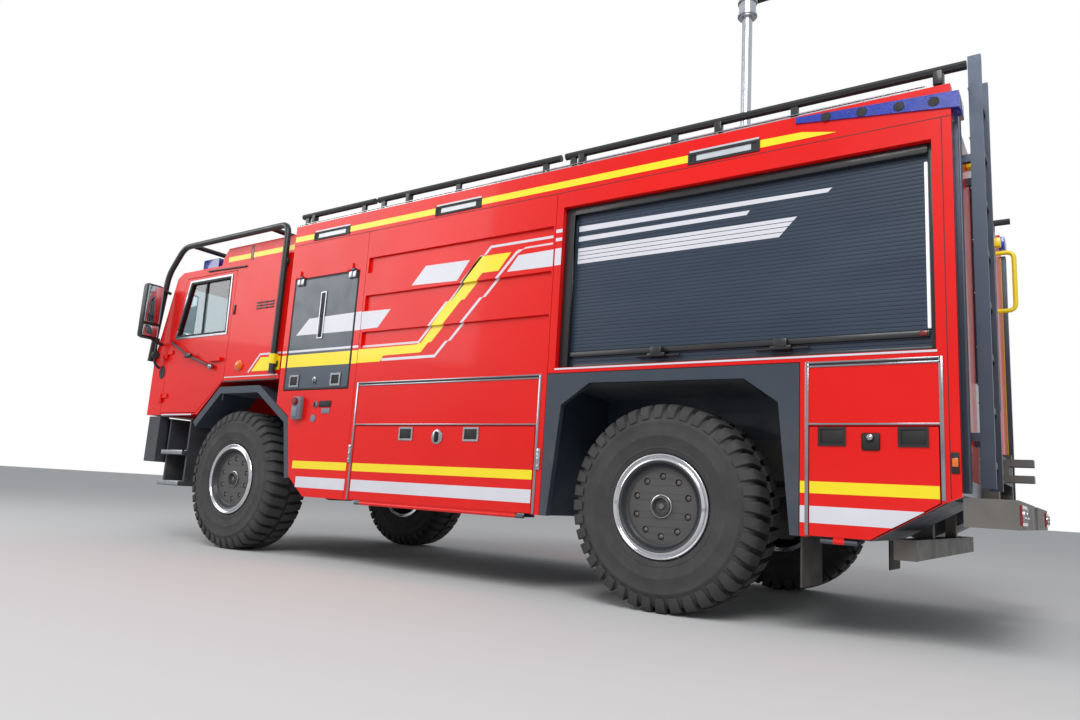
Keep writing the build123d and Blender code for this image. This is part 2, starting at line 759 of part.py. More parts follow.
with BuildPart() as skirts:
    for outline in skirt_outlines:
        side_plate(outline, frame_half, frame_half - skirt_inner)
    low_depth = frame_half - skirt_inner - floor_thickness
    side_plate(side_corners(flap_y, (low_floor, flap_z[1])), frame_half, low_depth, mode=Mode.SUBTRACT)
    side_plate(tail_locker, frame_half, low_depth, mode=Mode.SUBTRACT)
    for run in flap_hinge_runs:
        lip_x = (frame_half - hinge_drop, frame_half)
        box_between(lip_x, run, (body_bottom, low_floor), mode=Mode.SUBTRACT)
        inset = flap_hinge_end - seat_gap - fixed_barrel_length / 2
        for y in (run[0] + inset, run[1] - inset):
            fixed_hinge(y, flap_hinge_x, flap_hinge_z, fixed_barrel_length)
            ends = (y - fixed_barrel_length / 2, y + fixed_barrel_length / 2)
            box_between((frame_half - 90, flap_hinge_x), ends, (flap_hinge_z - 4, flap_hinge_z + 6))
            box_between((frame_half - 90, frame_half - 60), ends, (flap_hinge_z - 4, body_bottom))
    mirror(about=Plane.YZ)
skirts.part.label = "skirts"
export_step(skirts.part, "parts/skirts.step")

# Side panels of the body, with an opening for each hatch, flap and shutter
with BuildPart() as front_panels:
    outline = (nose_cut[0], nose_cut[1], nose_cut[2], nose_cut[3], (seam_front - seam / 2, body_bottom))
    outline += ((seam_front - seam / 2, cornice_bottom - seam), (body_front, cornice_bottom - seam))
    side_plate(outline, body_half, panel)
    side_plate(side_corners(hatch_y, hatch_z), body_half, panel, mode=Mode.SUBTRACT)
    for station in hatch_hinges:
        y = station - barrel_step
        fixed_hinge(y, hatch_hinge_x, hatch_hinge_z, barrel_length)
        ends = (y - barrel_length / 2, y + barrel_length / 2)
        box_between((body_half, hatch_hinge_x), ends, (hatch_hinge_z, hatch_hinge_z + 60))
    mirror(about=Plane.YZ)
front_panels.part.label = "front_panels"
export_step(front_panels.part, "parts/front_panels.step")

channel_y = (seam_front + 23, seam_rear - 15)
channel_rows = ((1628, 1751), (1915, 2039), (2216, 2342))
channel_depth = 22
with BuildPart() as tank_panels:
    sheet_y = (seam_front + seam / 2, seam_rear - seam / 2)
    side_plate(side_corners(sheet_y, (body_bottom, cornice_bottom - seam)), body_half, panel)
    for row in channel_rows:
        side_plate(side_corners(channel_y, row), body_half, channel_depth, mode=Mode.SUBTRACT)
    side_plate(side_corners(flap_y, flap_z), body_half, panel, mode=Mode.SUBTRACT)
    mirror(about=Plane.YZ)
tank_panels.part.label = "tank_panels"
export_step(tank_panels.part, "parts/tank_panels.step")

rear_flap_outline = (
    (rear_flap_y[0], body_bottom),
    tail_cut[0],
    (rear_flap_y[1], tail_cut[1][1]),
    (rear_flap_y[1], flap_z[1]),
    (rear_flap_y[0], flap_z[1]),
)
with BuildPart() as rear_panels:
    outline = ((seam_rear + seam / 2, arch_top + seam), (arch_rear + seam, arch_top + seam), (arch_rear + seam, body_bottom))
    outline += tail_cut
    outline += ((body_rear, cornice_bottom - seam), (seam_rear + seam / 2, cornice_bottom - seam))
    side_plate(outline, body_half, panel)
    side_plate(side_corners(shutter_y, shutter_z), body_half, panel, mode=Mode.SUBTRACT)
    side_plate(rear_flap_outline, body_half, panel, mode=Mode.SUBTRACT)
    mirror(about=Plane.YZ)
rear_panels.part.label = "rear_panels"
export_step(rear_panels.part, "parts/rear_panels.step")

# Arches in dark plastic: plates round the rear wheels and bent fenders on arms over the front wheels
fender_outer = cab_half + 25
fender_inner = fender_outer - 365
fender_band = 60
fender_line = (
    (front_axle - 612, 1070),
    (front_axle - 266, 1378),
    (front_axle + 300, 1378),
    (front_axle + 732, 1100),
    (front_axle + 822, 626),
)
fender_arm = 40
with BuildPart() as wheel_arches:
    front_edge = seam_rear + seam / 2
    legs = ((front_edge, body_bottom), (arch_rear, body_bottom), (arch_rear, arch_top), (front_edge, arch_top))
    side_plate(legs, body_half, panel)
    side_plate(arch_hole, body_half, panel, mode=Mode.SUBTRACT)
    with BuildSketch(Plane.YZ.offset(fender_outer)) as fender:
        with BuildLine() as fender_path:
            Polyline(*fender_line)
            offset(amount=fender_band, side=Side.RIGHT)
        make_face()
    extrude(fender.sketch, amount=fender_inner - fender_outer)
    arm_y = (front_axle + 100, front_axle + 150)
    arm_top = fender_line[2][1] - 8
    box_between((rail_outer, fender_inner), arm_y, (arm_top - fender_arm, arm_top))
    box_between((rail_outer, rail_outer + 30), arm_y, (rail_top - 120, arm_top))
    mirror(about=Plane.YZ)
wheel_arches.part.label = "wheel_arches"
export_step(wheel_arches.part, "parts/wheel_arches.step")

# Cornice: the red band along the top of both sides, with the scene lamps let into it
cornice_thickness = 60
scene_lamp_length = 420
scene_lamp_z = (2580, 2660)
scene_lamp_stations = (body_front + 463, rear_axle - 1650, rear_axle + 352)
scene_lamp_depth = 30
with BuildPart() as cornice:
    side_plate(
        side_corners((body_front, body_rear), (cornice_bottom, cornice_top)), body_half, cornice_thickness
    )
    for station in scene_lamp_stations:
        y = (station - scene_lamp_length / 2, station + scene_lamp_length / 2)
        side_plate(side_corners(y, scene_lamp_z), body_half, scene_lamp_depth, mode=Mode.SUBTRACT)
    mirror(about=Plane.YZ)
cornice.part.label = "cornice"
export_step(cornice.part, "parts/cornice.step")

with BuildPart() as white_lamps:
    for station in scene_lamp_stations:
        y = (station - scene_lamp_length / 2, station + scene_lamp_length / 2)
        side_plate(side_corners(y, scene_lamp_z), body_half, scene_lamp_depth)
    x = (lamp_x - lamp_width / 2, lamp_x + lamp_width / 2)
    z = (lamp_z - lamp_height / 2, lamp_z + lamp_height / 2)
    box_between(x, (bumper_front + 12, bumper_front + lamp_pocket), z)
    mirror(about=Plane.YZ)
white_lamps.part.label = "white_lamps"
export_step(white_lamps.part, "parts/white_lamps.step")

# Hatches: tall lids over the front lockers, hung on two hinges at the top
with BuildPart() as hatch:
    hatch_face = ((hatch_y[0] + door_gap, hatch_y[1] - door_gap), (hatch_z[0] + door_gap, hatch_z[1] - door_gap))
    side_plate(side_corners(*hatch_face), body_half, panel)
    for station in hatch_hinges:
        y = station + barrel_step
        with Locations(Location((hatch_hinge_x, y, hatch_hinge_z), (90, 0, 0))):
            Cylinder(hinge_radius, barrel_length)
        ends = (y - barrel_length / 2, y + barrel_length / 2)
        box_between((body_half, hatch_hinge_x), ends, (hatch_hinge_z - 60, hatch_hinge_z))
write_pair("hatch", hatch.part)

# Locker flaps: lids that fold down on a long hinge under their bottom edge
flap_parts = (
    ("locker_flap", side_corners(flap_y, flap_z), flap_hinge_runs[0]),
    ("rear_flap", rear_flap_outline, flap_hinge_runs[1]),
)
for flap_name, flap_outline, run in flap_parts:
    with BuildPart() as flap:
        with BuildSketch(Plane.YZ.offset(body_half)) as face_line:
            Polygon(*flap_outline, align=None)
            offset(amount=-door_gap, kind=Kind.INTERSECTION, mode=Mode.REPLACE)
        extrude(face_line.sketch, amount=-panel)
        ends = (run[0] + flap_hinge_end, run[1] - flap_hinge_end)
        with Locations(Location((flap_hinge_x, (ends[0] + ends[1]) / 2, flap_hinge_z), (90, 0, 0))):
            Cylinder(hinge_radius, ends[1] - ends[0])
        box_between((flap_hinge_x - 8, flap_hinge_x + 8), ends, (flap_hinge_z, body_bottom + 30))
    write_pair(flap_name, flap.part)

# Shutters: closed slatted curtains in the side and rear openings
with BuildPart() as shutters:
    side_plate(side_corners(shutter_y, shutter_z), body_half - shutter_recess, shutter_thickness)
    mirror(about=Plane.YZ)
    box_between(
        (-rear_shutter_half, rear_shutter_half),
        (body_rear - curtain_depth, body_rear - shutter_recess),
        rear_shutter_z,
    )
shutters.part.label = "shutters"
export_step(shutters.part, "parts/shutters.step")

# Rear wall round the rear shutter, and the roof deck
tail_wall_low = body_bottom + 236
with BuildPart() as rear_wall:
    box_between((-frame_half, frame_half), (frame_rear, body_rear), (tail_wall_low, cornice_bottom))
    box_between(
        (-rear_shutter_half, rear_shutter_half), (frame_rear, body_rear), rear_shutter_z, mode=Mode.SUBTRACT
    )
    notch_half = rail_outer + 10
    box_between((-notch_half, notch_half), (frame_rear, body_rear), (tail_wall_low, rail_top), mode=Mode.SUBTRACT)
rear_wall.part.label = "rear_wall"
export_step(rear_wall.part, "parts/rear_wall.step")

deck_half = body_half - cornice_thickness
deck_thickness = 60
locker_x = (body_half - 855, body_half - 195)
locker_y = (rear_axle - 1500, rear_axle + 1300)
locker_top = 2830
locker_skin = 25
deck_top = cornice_bottom + deck_thickness
walkway_x = (180 - body_half, -200)
walkway_y = (body_front + 200, body_rear - 200)
walkway_rise = 8
with BuildPart() as roof_deck:
    box_between(
        (-deck_half, deck_half), (body_front, body_rear), (cornice_bottom, deck_top)
    )
    box_between(walkway_x, walkway_y, (deck_top, deck_top + walkway_rise))
    with Locations((0, rear_axle, cornice_bottom + deck_thickness / 2)):
        Box(2 * mast_shaft, 2 * mast_shaft, deck_thickness, mode=Mode.SUBTRACT)
    box_between(locker_x, locker_y, (deck_top, locker_top))
    box_between(
        (locker_x[0] + locker_skin, locker_x[1] - locker_skin),
        (locker_y[0] + locker_skin, locker_y[1] - locker_skin),
        (deck_top, locker_top),
        mode=Mode.SUBTRACT,
    )
roof_deck.part.label = "roof_deck"
export_step(roof_deck.part, "parts/roof_deck.step")

# Roof locker lid, hinged along its inner edge
lid_lift = 0.3
lid_thickness = 24
lid_hinge_x = locker_x[0] - hinge_radius - 2
lid_hinge_z = locker_top + lid_lift + hinge_radius + 2
lid_hinge_y = (locker_y[0] + 300, locker_y[1] - 300)
with BuildPart() as roof_locker_lid:
    box_between(locker_x, locker_y, (locker_top + lid_lift, locker_top + lid_lift + lid_thickness))
    with Locations(Location((lid_hinge_x, (lid_hinge_y[0] + lid_hinge_y[1]) / 2, lid_hinge_z), (90, 0, 0))):
        Cylinder(hinge_radius, lid_hinge_y[1] - lid_hinge_y[0])
    box_between((lid_hinge_x, locker_x[0]), lid_hinge_y, (lid_hinge_z - 8, lid_hinge_z + 8))
roof_locker_lid.part.label = "roof_locker_lid"
export_step(roof_locker_lid.part, "parts/roof_locker_lid.step")

# Roof rails: a tube above each cornice on short posts, in three runs
rail_radius = 24
rail_z = 2830
rail_x = body_half - 45
rail_runs = ((body_front + 20, seam_front - 20), (seam_front + 20, seam_rear - 20), (seam_rear + 20, body_rear + 70))
with BuildPart() as roof_rails:
    for run in rail_runs:
        with BuildSketch(Plane.XZ.offset(-run[0])) as tube_end:
            with Locations((rail_x, rail_z)):
                RegularPolygon(rail_radius, tube_sides)
        extrude(tube_end.sketch, amount=run[0] - run[1])
        posts = max(2, round((run[1] - run[0]) / 800) + 1)
        for post in range(posts):
            y = run[0] + 60 + post * (run[1] - run[0] - 180) / (posts - 1)
            box_between((rail_x - 12, rail_x + 12), (y - 20, y + 20), (cornice_top, rail_z))
    mirror(about=Plane.YZ)
roof_rails.part.label = "roof_rails"
export_step(roof_rails.part, "parts/roof_rails.step")

# Ladder at the rear: two flat stiles with square rungs, on four brackets
ladder_x = (body_half - 515, body_half - 195)
ladder_y = (body_rear + 60, body_rear + 120)
ladder_z = (760, 2950)
stile = 30
rung_size = 30
rung_pitch = 270
rungs = 8
with BuildPart() as ladder:
    for x in ladder_x:
        box_between((x - stile / 2, x + stile / 2), ladder_y, ladder_z)
        for z in (ladder_z[0] + 240, ladder_z[1] - 550):
            box_between((x - stile / 2, x + stile / 2), (body_rear, ladder_y[0]), (z - 20, z + 20))
    rung_y = (ladder_y[0] + ladder_y[1]) / 2
    for rung in range(rungs):
        z = ladder_z[0] + 120 + rung * rung_pitch
        box_between(ladder_x, (rung_y - rung_size / 2, rung_y + rung_size / 2), (z - rung_size / 2, z + rung_size / 2))
ladder.part.label = "ladder"
export_step(ladder.part, "parts/ladder.step")

# Rear guards: the step over the tow jaw and the underrun bar below the rails
tail_step_z = (580, 710)
tail_step_half = body_half - 20
tail_step_rear = rear_axle + rear_overhang - 10
underrun_half = body_half - 175
underrun_y = (rear_axle + 1200, rear_axle + 1300)
underrun_z = (400, 500)
with BuildPart() as rear_guards:
    box_between((-tail_step_half, tail_step_half), (body_rear, tail_step_rear), tail_step_z)
    box_between((-jaw_width, jaw_width), (rail_rear, tail_step_rear), tail_step_z, mode=Mode.SUBTRACT)
    box_between((-underrun_half, underrun_half), underrun_y, underrun_z)
    for x in ((rail_inner, rail_outer), (-rail_outer, -rail_inner)):
        box_between(x, (body_rear, rail_rear), (tail_step_z[1], rail_bottom))
        box_between(x, (underrun_y[0] + 20, underrun_y[1] - 20), (underrun_z[1], rail_bottom))
rear_guards.part.label = "rear_guards"
export_step(rear_guards.part, "parts/rear_guards.step")

mudflap_x = (body_half - 405, body_half - 50)
mudflap_z = (230, 900)
mudflap_thickness = 10
with BuildPart() as mudflaps:
    box_between(mudflap_x, (rear_flap_y[0] - 40 - mudflap_thickness, rear_flap_y[0] - 40), mudflap_z)
    mirror(about=Plane.YZ)
mudflaps.part.label = "mudflaps"
export_step(mudflaps.part, "parts/mudflaps.step")

tail_lamp_x = (body_half - 375, body_half - 75)
tail_lamp_z = (600, 690)
with BuildPart() as tail_lamps:
    box_between(tail_lamp_x, (tail_step_rear, tail_step_rear + 10), tail_lamp_z)
    mirror(about=Plane.YZ)
tail_lamps.part.label = "tail_lamps"
export_step(tail_lamps.part, "parts/tail_lamps.step")

# Mast: a tube that slides in a base tube, with a turning head and tilting floodlights
mast_foot = tunnel_top - 40
mast_collar = deck_top + 278
mast_tube_radius = 38
mast_wall = 8
mast_flange = 15
mast_travel = 1300
mast_overlap = 60
mast_head_z = mast_collar + 1400
with BuildPart() as mast_base:
    base_radius = mast_tube_radius + seat_gap + mast_wall
    with Locations((0, rear_axle, (mast_foot + mast_collar) / 2)):
        Cylinder(base_radius, mast_collar - mast_foot)
    with BuildSketch(Plane.XY.offset(mast_collar - 60)) as collar:
        with Locations((0, rear_axle)):
            RegularPolygon(base_radius + 18, barrel_sides)
    extrude(collar.sketch, amount=60)
    flange_half = mast_shaft + 50
    flange_y = (rear_axle - flange_half, rear_axle + flange_half)
    box_between((-flange_half, flange_half), flange_y, (deck_top, deck_top + mast_flange))
    with Locations((0, rear_axle, (mast_foot + mast_collar) / 2 + 10)):
        Cylinder(mast_tube_radius + seat_gap, mast_collar - mast_foot, mode=Mode.SUBTRACT)
mast_base.part.label = "mast_base"
export_step(mast_base.part, "parts/mast_base.step")

with BuildPart() as mast_tube:
    tube_low = mast_collar - mast_overlap
    with Locations((0, rear_axle, (tube_low + mast_head_z) / 2)):
        Cylinder(mast_tube_radius, mast_head_z - tube_low)
mast_tube.part.label = "mast_tube"
export_step(mast_tube.part, "parts/mast_tube.step")

head_radius = 64
head_height = 250
tilt_rise = 365
tilt_z = mast_head_z + tilt_rise
tilt_radius = 22
tilt_sleeve = 36
sleeve_length = 130
with BuildPart() as mast_head:
    head_low = mast_head_z + seat_gap
    with Locations((0, rear_axle, head_low + head_height / 2)):
        Cylinder(head_radius, head_height)
    with Locations((0, rear_axle, (head_low + head_height + tilt_z) / 2)):
        Box(50, 50, tilt_z - head_low - head_height)
    with Locations(Location((0, rear_axle, tilt_z), (0, 90, 0))):
        Cylinder(tilt_sleeve, sleeve_length)
        Cylinder(tilt_radius + seat_gap, sleeve_length, mode=Mode.SUBTRACT)
mast_head.part.label = "mast_head"
export_step(mast_head.part, "parts/mast_head.step")

flood_width = 250
flood_height = 190
flood_depth = 120
flood_x = 230
with BuildPart() as floodlights:
    with Locations(Location((0, rear_axle, tilt_z), (0, 90, 0))):
        Cylinder(tilt_radius, 2 * flood_x)
    for sign in (1, -1):
        x = (sign * flood_x - flood_width / 2, sign * flood_x + flood_width / 2)
        y = (rear_axle - flood_depth / 2, rear_axle + flood_depth / 2)
        box_between(x, y, (tilt_z - 10, tilt_z - 10 + flood_height))
floodlights.part.label = "floodlights"
export_step(floodlights.part, "parts/floodlights.step")
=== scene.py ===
from math import cos, pi, radians, sin

import bmesh
import bpy
from mathutils import Matrix, Vector


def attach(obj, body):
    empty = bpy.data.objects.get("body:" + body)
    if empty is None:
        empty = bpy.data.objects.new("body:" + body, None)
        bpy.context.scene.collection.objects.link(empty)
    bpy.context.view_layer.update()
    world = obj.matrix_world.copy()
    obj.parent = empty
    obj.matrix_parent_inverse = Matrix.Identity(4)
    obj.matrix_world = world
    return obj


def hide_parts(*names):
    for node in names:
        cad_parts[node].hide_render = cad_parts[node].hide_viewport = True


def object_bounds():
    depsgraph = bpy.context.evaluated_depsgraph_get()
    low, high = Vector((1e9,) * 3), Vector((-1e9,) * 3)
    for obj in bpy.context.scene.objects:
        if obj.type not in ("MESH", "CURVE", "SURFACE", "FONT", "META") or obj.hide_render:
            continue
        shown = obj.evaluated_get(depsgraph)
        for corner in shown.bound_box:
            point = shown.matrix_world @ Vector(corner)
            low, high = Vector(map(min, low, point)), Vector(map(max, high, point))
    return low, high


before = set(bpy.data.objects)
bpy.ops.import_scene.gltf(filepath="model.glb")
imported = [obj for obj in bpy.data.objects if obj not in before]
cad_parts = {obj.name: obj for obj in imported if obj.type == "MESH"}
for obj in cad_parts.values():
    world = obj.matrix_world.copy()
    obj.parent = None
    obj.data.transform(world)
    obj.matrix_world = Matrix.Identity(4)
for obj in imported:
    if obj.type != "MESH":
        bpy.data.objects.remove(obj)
cad_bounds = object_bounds()

# Camera: low beside the rear wheel, looking forward and a little up along the left side.
# Its place and lens come from the straight edges of the body and the round wheels.
# Lengths in this file are millimetres, and y counts back from the rear axle.
mm = 0.001
front_to_axle = 5550
rear_axle = cad_bounds[0][1] / mm + front_to_axle
camera_data = bpy.data.cameras.new("camera")
camera_data.lens = 26.24
camera_data.sensor_width = 36.0
camera_data.clip_end = 500.0
camera = bpy.data.objects.new("camera", camera_data)
camera_right = Vector((-0.56774, 0.82097, 0.06071))
camera_up = Vector((0.17342, 0.04718, 0.98372))
camera_back = camera_right.cross(camera_up)
camera_place = Vector((5.315, rear_axle * mm + 2.009, 0.604))
camera.matrix_world = Matrix.Translation(camera_place) @ Matrix(
    (camera_right, camera_up, camera_back)
).transposed().to_4x4()
bpy.context.scene.collection.objects.link(camera)
bpy.context.scene.camera = camera
bpy.context.scene.view_settings.view_transform = "Standard"

# Studio: a pale floor without an end, an even pale sky and two large soft lamps.
# The sky is white to the camera and through glass, part of that in shiny paint and metal,
# and it lights the truck at a plain level.
floor_reach = 150.0
floor_mesh = bpy.data.meshes.new("floor")
floor_mesh.from_pydata(
    [(x * floor_reach, y * floor_reach, 0) for x, y in ((-1, -1), (1, -1), (1, 1), (-1, 1))],
    [],
    [(0, 1, 2, 3)],
)
floor = bpy.data.objects.new("floor", floor_mesh)
bpy.context.scene.collection.objects.link(floor)
floor_paint = bpy.data.materials.new("floor_paint")
floor_paint.use_nodes = True
floor_shader = floor_paint.node_tree.nodes["Principled BSDF"]
floor_shader.inputs["Base Color"].default_value = (0.62, 0.62, 0.62, 1)
floor_shader.inputs["Roughness"].default_value = 0.8
floor_shader.inputs["Specular IOR Level"].default_value = 0.2
floor_mesh.materials.append(floor_paint)

glossy_share = 0.45
world = bpy.data.worlds.new("studio")
bpy.context.scene.world = world
world.use_nodes = True
sky_nodes = world.node_tree.nodes
sky_links = world.node_tree.links
sky_nodes.clear()


def sky_shade(colour, strength):
    """An even sky of one colour."""
    shade = sky_nodes.new("ShaderNodeBackground")
    shade.inputs["Color"].default_value = (*colour, 1)
    shade.inputs["Strength"].default_value = strength
    return shade.outputs[0]


def sky_math(operation, one, other):
    """Joins two signals of the sky, or a signal and a number."""
    step = sky_nodes.new("ShaderNodeMath")
    step.operation = operation
    sky_links.new(one, step.inputs[0])
    if isinstance(other, float):
        step.inputs[1].default_value = other
    else:
        sky_links.new(other, step.inputs[1])
    return step.outputs[0]


rays = sky_nodes.new("ShaderNodeLightPath").outputs
seen_rays = sky_math("MAXIMUM", rays["Is Camera Ray"], rays["Is Transmission Ray"])
shiny_rays = sky_math("MULTIPLY", rays["Is Glossy Ray"], glossy_share)
sky_mix = sky_nodes.new("ShaderNodeMixShader")
sky_links.new(sky_math("MAXIMUM", seen_rays, shiny_rays), sky_mix.inputs[0])
sky_links.new(sky_shade((0.93, 0.96, 1.0), 0.5), sky_mix.inputs[1])
sky_links.new(sky_shade((1, 1, 1), 1.0), sky_mix.inputs[2])
sky_out = sky_nodes.new("ShaderNodeOutputWorld")
sky_links.new(sky_mix.outputs[0], sky_out.inputs[0])
lamp_width = 6.0
lamp_target = Vector((0.0, 0.0, 1.2))
for lamp_name, place, watts in (
    ("key_lamp", (9.0, 5.0, 9.0), 900.0),
    ("fill_lamp", (7.0, -8.0, 6.0), 320.0),
):
    lamp_data = bpy.data.lights.new(lamp_name, "AREA")
    lamp_data.size = lamp_width
    lamp_data.energy = watts
    lamp = bpy.data.objects.new(lamp_name, lamp_data)
    lamp.location = place
    lamp.rotation_euler = (lamp_target - Vector(place)).to_track_quat("-Z", "Y").to_euler()
    bpy.context.scene.collection.objects.link(lamp)

# Chassis: two steel rails with cross members, leaf springs and beam axles, painted black.
# Road dust lies on everything down here, and edges have lost a little paint.
bare_metal = (150, 145, 140)
road_dust = (150, 142, 132)
dust_foot = 0.2
soft_edge_angle = radians(35)


def linear(colour):
    """A colour given as 0 to 255 levels, as the shader wants it."""
    levels = []
    for level in colour:
        share = level / 255
        levels.append(share / 12.92 if share <= 0.04045 else ((share + 0.055) / 1.055) ** 2.4)
    return (*levels, 1.0)


def finish(name, colour, roughness, metallic=0.0, coat=0.0, specular=0.5, mottle=0.08,
           mottle_size=0.5, grain=0.002, grain_depth=0.05, smudge=0.08, dust=0.0, dust_top=1.3,
           worn=0.0, glow=0.0, stretch=(1, 1, 1)):
    """A surface with cloudy colour, fine grain, smudges, dust that thins upwards and rubbed edges."""
    material = bpy.data.materials.new(name)
    material.use_nodes = True
    nodes = material.node_tree.nodes
    links = material.node_tree.links
    shader = nodes["Principled BSDF"]
    shader.inputs["Metallic"].default_value = metallic
    shader.inputs["Specular IOR Level"].default_value = specular
    shader.inputs["Coat Weight"].default_value = coat
    shader.inputs["Coat Roughness"].default_value = 0.06
    place = nodes.new("ShaderNodeTexCoord")
    scaled = nodes.new("ShaderNodeVectorMath")
    scaled.operation = "MULTIPLY"
    scaled.inputs[1].default_value = stretch
    links.new(place.outputs["Object"], scaled.inputs[0])

    def cloud(size, detail):
        """Noise with patches of a size in metres."""
        texture = nodes.new("ShaderNodeTexNoise")
        texture.inputs["Scale"].default_value = 1 / size
        texture.inputs["Detail"].default_value = detail
        links.new(scaled.outputs[0], texture.inputs["Vector"])
        return texture.outputs["Fac"]

    def ranged(value, *limits):
        """A signal carried from one range into another: low, high, new low, new high."""
        mapping = nodes.new("ShaderNodeMapRange")
        for end, limit in zip(("From Min", "From Max", "To Min", "To Max"), limits):
            mapping.inputs[end].default_value = limit
        links.new(value, mapping.inputs["Value"])
        return mapping.outputs["Result"]

    def mixed(share, low, high):
        """Two colours mixed by a signal."""
        mix = nodes.new("ShaderNodeMix")
        mix.data_type = "RGBA"
        links.new(share, mix.inputs[0])
        for socket, value in ((mix.inputs[6], low), (mix.inputs[7], high)):
            if isinstance(value, tuple):
                socket.default_value = value
            else:
                links.new(value, socket)
        return mix.outputs[2]

    full = linear(colour)
    darker = tuple(level * (1 - mottle) for level in full[:3]) + (1.0,)
    lighter = tuple(min(1.0, level * (1 + mottle)) for level in full[:3]) + (1.0,)
    shade = mixed(ranged(cloud(mottle_size, 5), 0.3, 0.7, 0, 1), darker, lighter)
    if worn:
        geometry = nodes.new("ShaderNodeNewGeometry")
        edge = ranged(geometry.outputs["Pointiness"], 0.52, 0.60, 0, worn)
        shade = mixed(edge, shade, linear(bare_metal))
    if dust:
        height = nodes.new("ShaderNodeSeparateXYZ")
        links.new(place.outputs["Object"], height.inputs[0])
        patchy = nodes.new("ShaderNodeMath")
        patchy.operation = "MULTIPLY"
        links.new(ranged(height.outputs["Z"], dust_top, dust_foot, 0, dust), patchy.inputs[0])
        links.new(ranged(cloud(0.12, 6), 0.35, 0.75, 0.35, 1.0), patchy.inputs[1])
        shade = mixed(patchy.outputs[0], shade, linear(road_dust))
    links.new(shade, shader.inputs["Base Color"])
    links.new(
        ranged(cloud(mottle_size / 4, 4), 0.3, 0.7, max(0.03, roughness - smudge), roughness + smudge),
        shader.inputs["Roughness"],
    )
    bump = nodes.new("ShaderNodeBump")
    bump.inputs["Strength"].default_value = grain_depth
    bump.inputs["Distance"].default_value = 0.002
    links.new(cloud(grain, 3), bump.inputs["Height"])
    links.new(bump.outputs["Normal"], shader.inputs["Normal"])
    if glow:
        shader.inputs["Emission Color"].default_value = full
        shader.inputs["Emission Strength"].default_value = glow
    return material


def paint(material, soften, *names):
    """Gives carried-over parts their finish, and a small round on their edges."""
    for name in names:
        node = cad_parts[name]
        for slot in node.material_slots:
            slot.link = "OBJECT"
            slot.material = material
        if soften:
            rounding = node.modifiers.new("edges", "BEVEL")
            rounding.width = soften * mm
            rounding.segments = 2
            rounding.limit_method = "ANGLE"
            rounding.angle_limit = soft_edge_angle


chassis_black = finish("chassis_black", (34, 35, 38), 0.5, grain=0.004, grain_depth=0.15, dust=0.5,
                       worn=0.3)
spring_steel = finish("spring_steel", (52, 52, 54), 0.55, metallic=0.4, dust=0.5, stretch=(1, 1, 12))
engine_grey = finish("engine_grey", (70, 72, 75), 0.6, metallic=0.3, dust=0.4, worn=0.3)
paint(chassis_black, 3, "chassis_frame", "front_axle", "rear_axle", "knuckle_left", "knuckle_right")
paint(spring_steel, 0, "springs")
paint(engine_grey, 12, "engine")

# Tyres: deep cross-country tread of square rubber lugs that fold over the shoulder.
# The sidewall bulges over the rim, with moulded rings, and is grey with dry dust.
wheel_radius = 585
wheel_x = 1052
axles = (("front", -4040), ("rear", 0))
turn_steps = 96
crease_angle = 38.0
casing_crown = (557, 0)
casing_half = (
    (297, 150), (299, 166), (312, 176), (322, 177), (326, 181), (334, 182), (338, 180), (352, 184),
    (392, 190), (396, 192), (402, 192), (406, 190.5), (440, 191), (470, 189), (474, 190.5), (480, 190),
    (484, 187), (508, 181), (532, 170), (548, 158), (557, 140),
)
lug_stations = (
    # x, outer reach, inner reach, half width outside, half width inside
    (14, 585, 552, 28, 33),
    (95, 585, 552, 28, 34),
    (148, 582, 550, 30, 35),
    (166, 573, 540, 30, 34),
    (180, 552, 520, 28, 33),
    (190, 515, 500, 22, 27),
)
lug_count = 40
lug_lean = 0.05
lug_edge = 190
rubber = finish("tyre_rubber", (58, 57, 58), 0.78, mottle=0.22, mottle_size=0.18, grain=0.003,
                grain_depth=0.35, smudge=0.12)


def skin(shape, rows, closed_rows=True, closed_points=True):
    """Faces from row to row of points, and from the last back to the first where closed."""
    row_count = len(rows) if closed_rows else len(rows) - 1
    point_count = len(rows[0]) if closed_points else len(rows[0]) - 1
    for row in range(row_count):
        one, other = rows[row], rows[(row + 1) % len(rows)]
        for point in range(point_count):
            after = (point + 1) % len(one)
            shape.faces.new((one[point], one[after], other[after], other[point]))


def turned(shape, profile, centre, steps=turn_steps):
    """Turns a closed line of (radius, x) points about a line across the truck through centre."""
    rings = []
    for step in range(steps):
        turn = 2 * pi * step / steps
        rings.append([
            shape.verts.new((
                centre[0] + x, centre[1] + radius * cos(turn), centre[2] + radius * sin(turn)
            ))
            for radius, x in profile
        ])
    skin(shape, rings)


def fit_piece(shape, name, material, body, smooth=crease_angle):
    """Makes a finished piece of a shape and lets it ride on its body."""
    bmesh.ops.translate(shape, vec=(0, rear_axle, 0), verts=shape.verts)
    bmesh.ops.remove_doubles(shape, verts=shape.verts, dist=0.001)
    bmesh.ops.recalc_face_normals(shape, faces=shape.faces)
    bmesh.ops.scale(shape, vec=(mm, mm, mm), verts=shape.verts)
    mesh = bpy.data.meshes.new(name)
    shape.to_mesh(mesh)
    shape.free()
    mesh.materials.append(material)
    if smooth:
        mesh.shade_smooth()
        mesh.set_sharp_from_angle(angle=radians(smooth))
    piece = bpy.data.objects.new(name, mesh)
    bpy.context.scene.collection.objects.link(piece)
    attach(piece, body)
    return piece


def flip(shape):
    """Moves a shape to the other side of the truck."""
    bmesh.ops.scale(shape, vec=(-1, 1, 1), verts=shape.verts)
    bmesh.ops.reverse_faces(shape, faces=shape.faces)


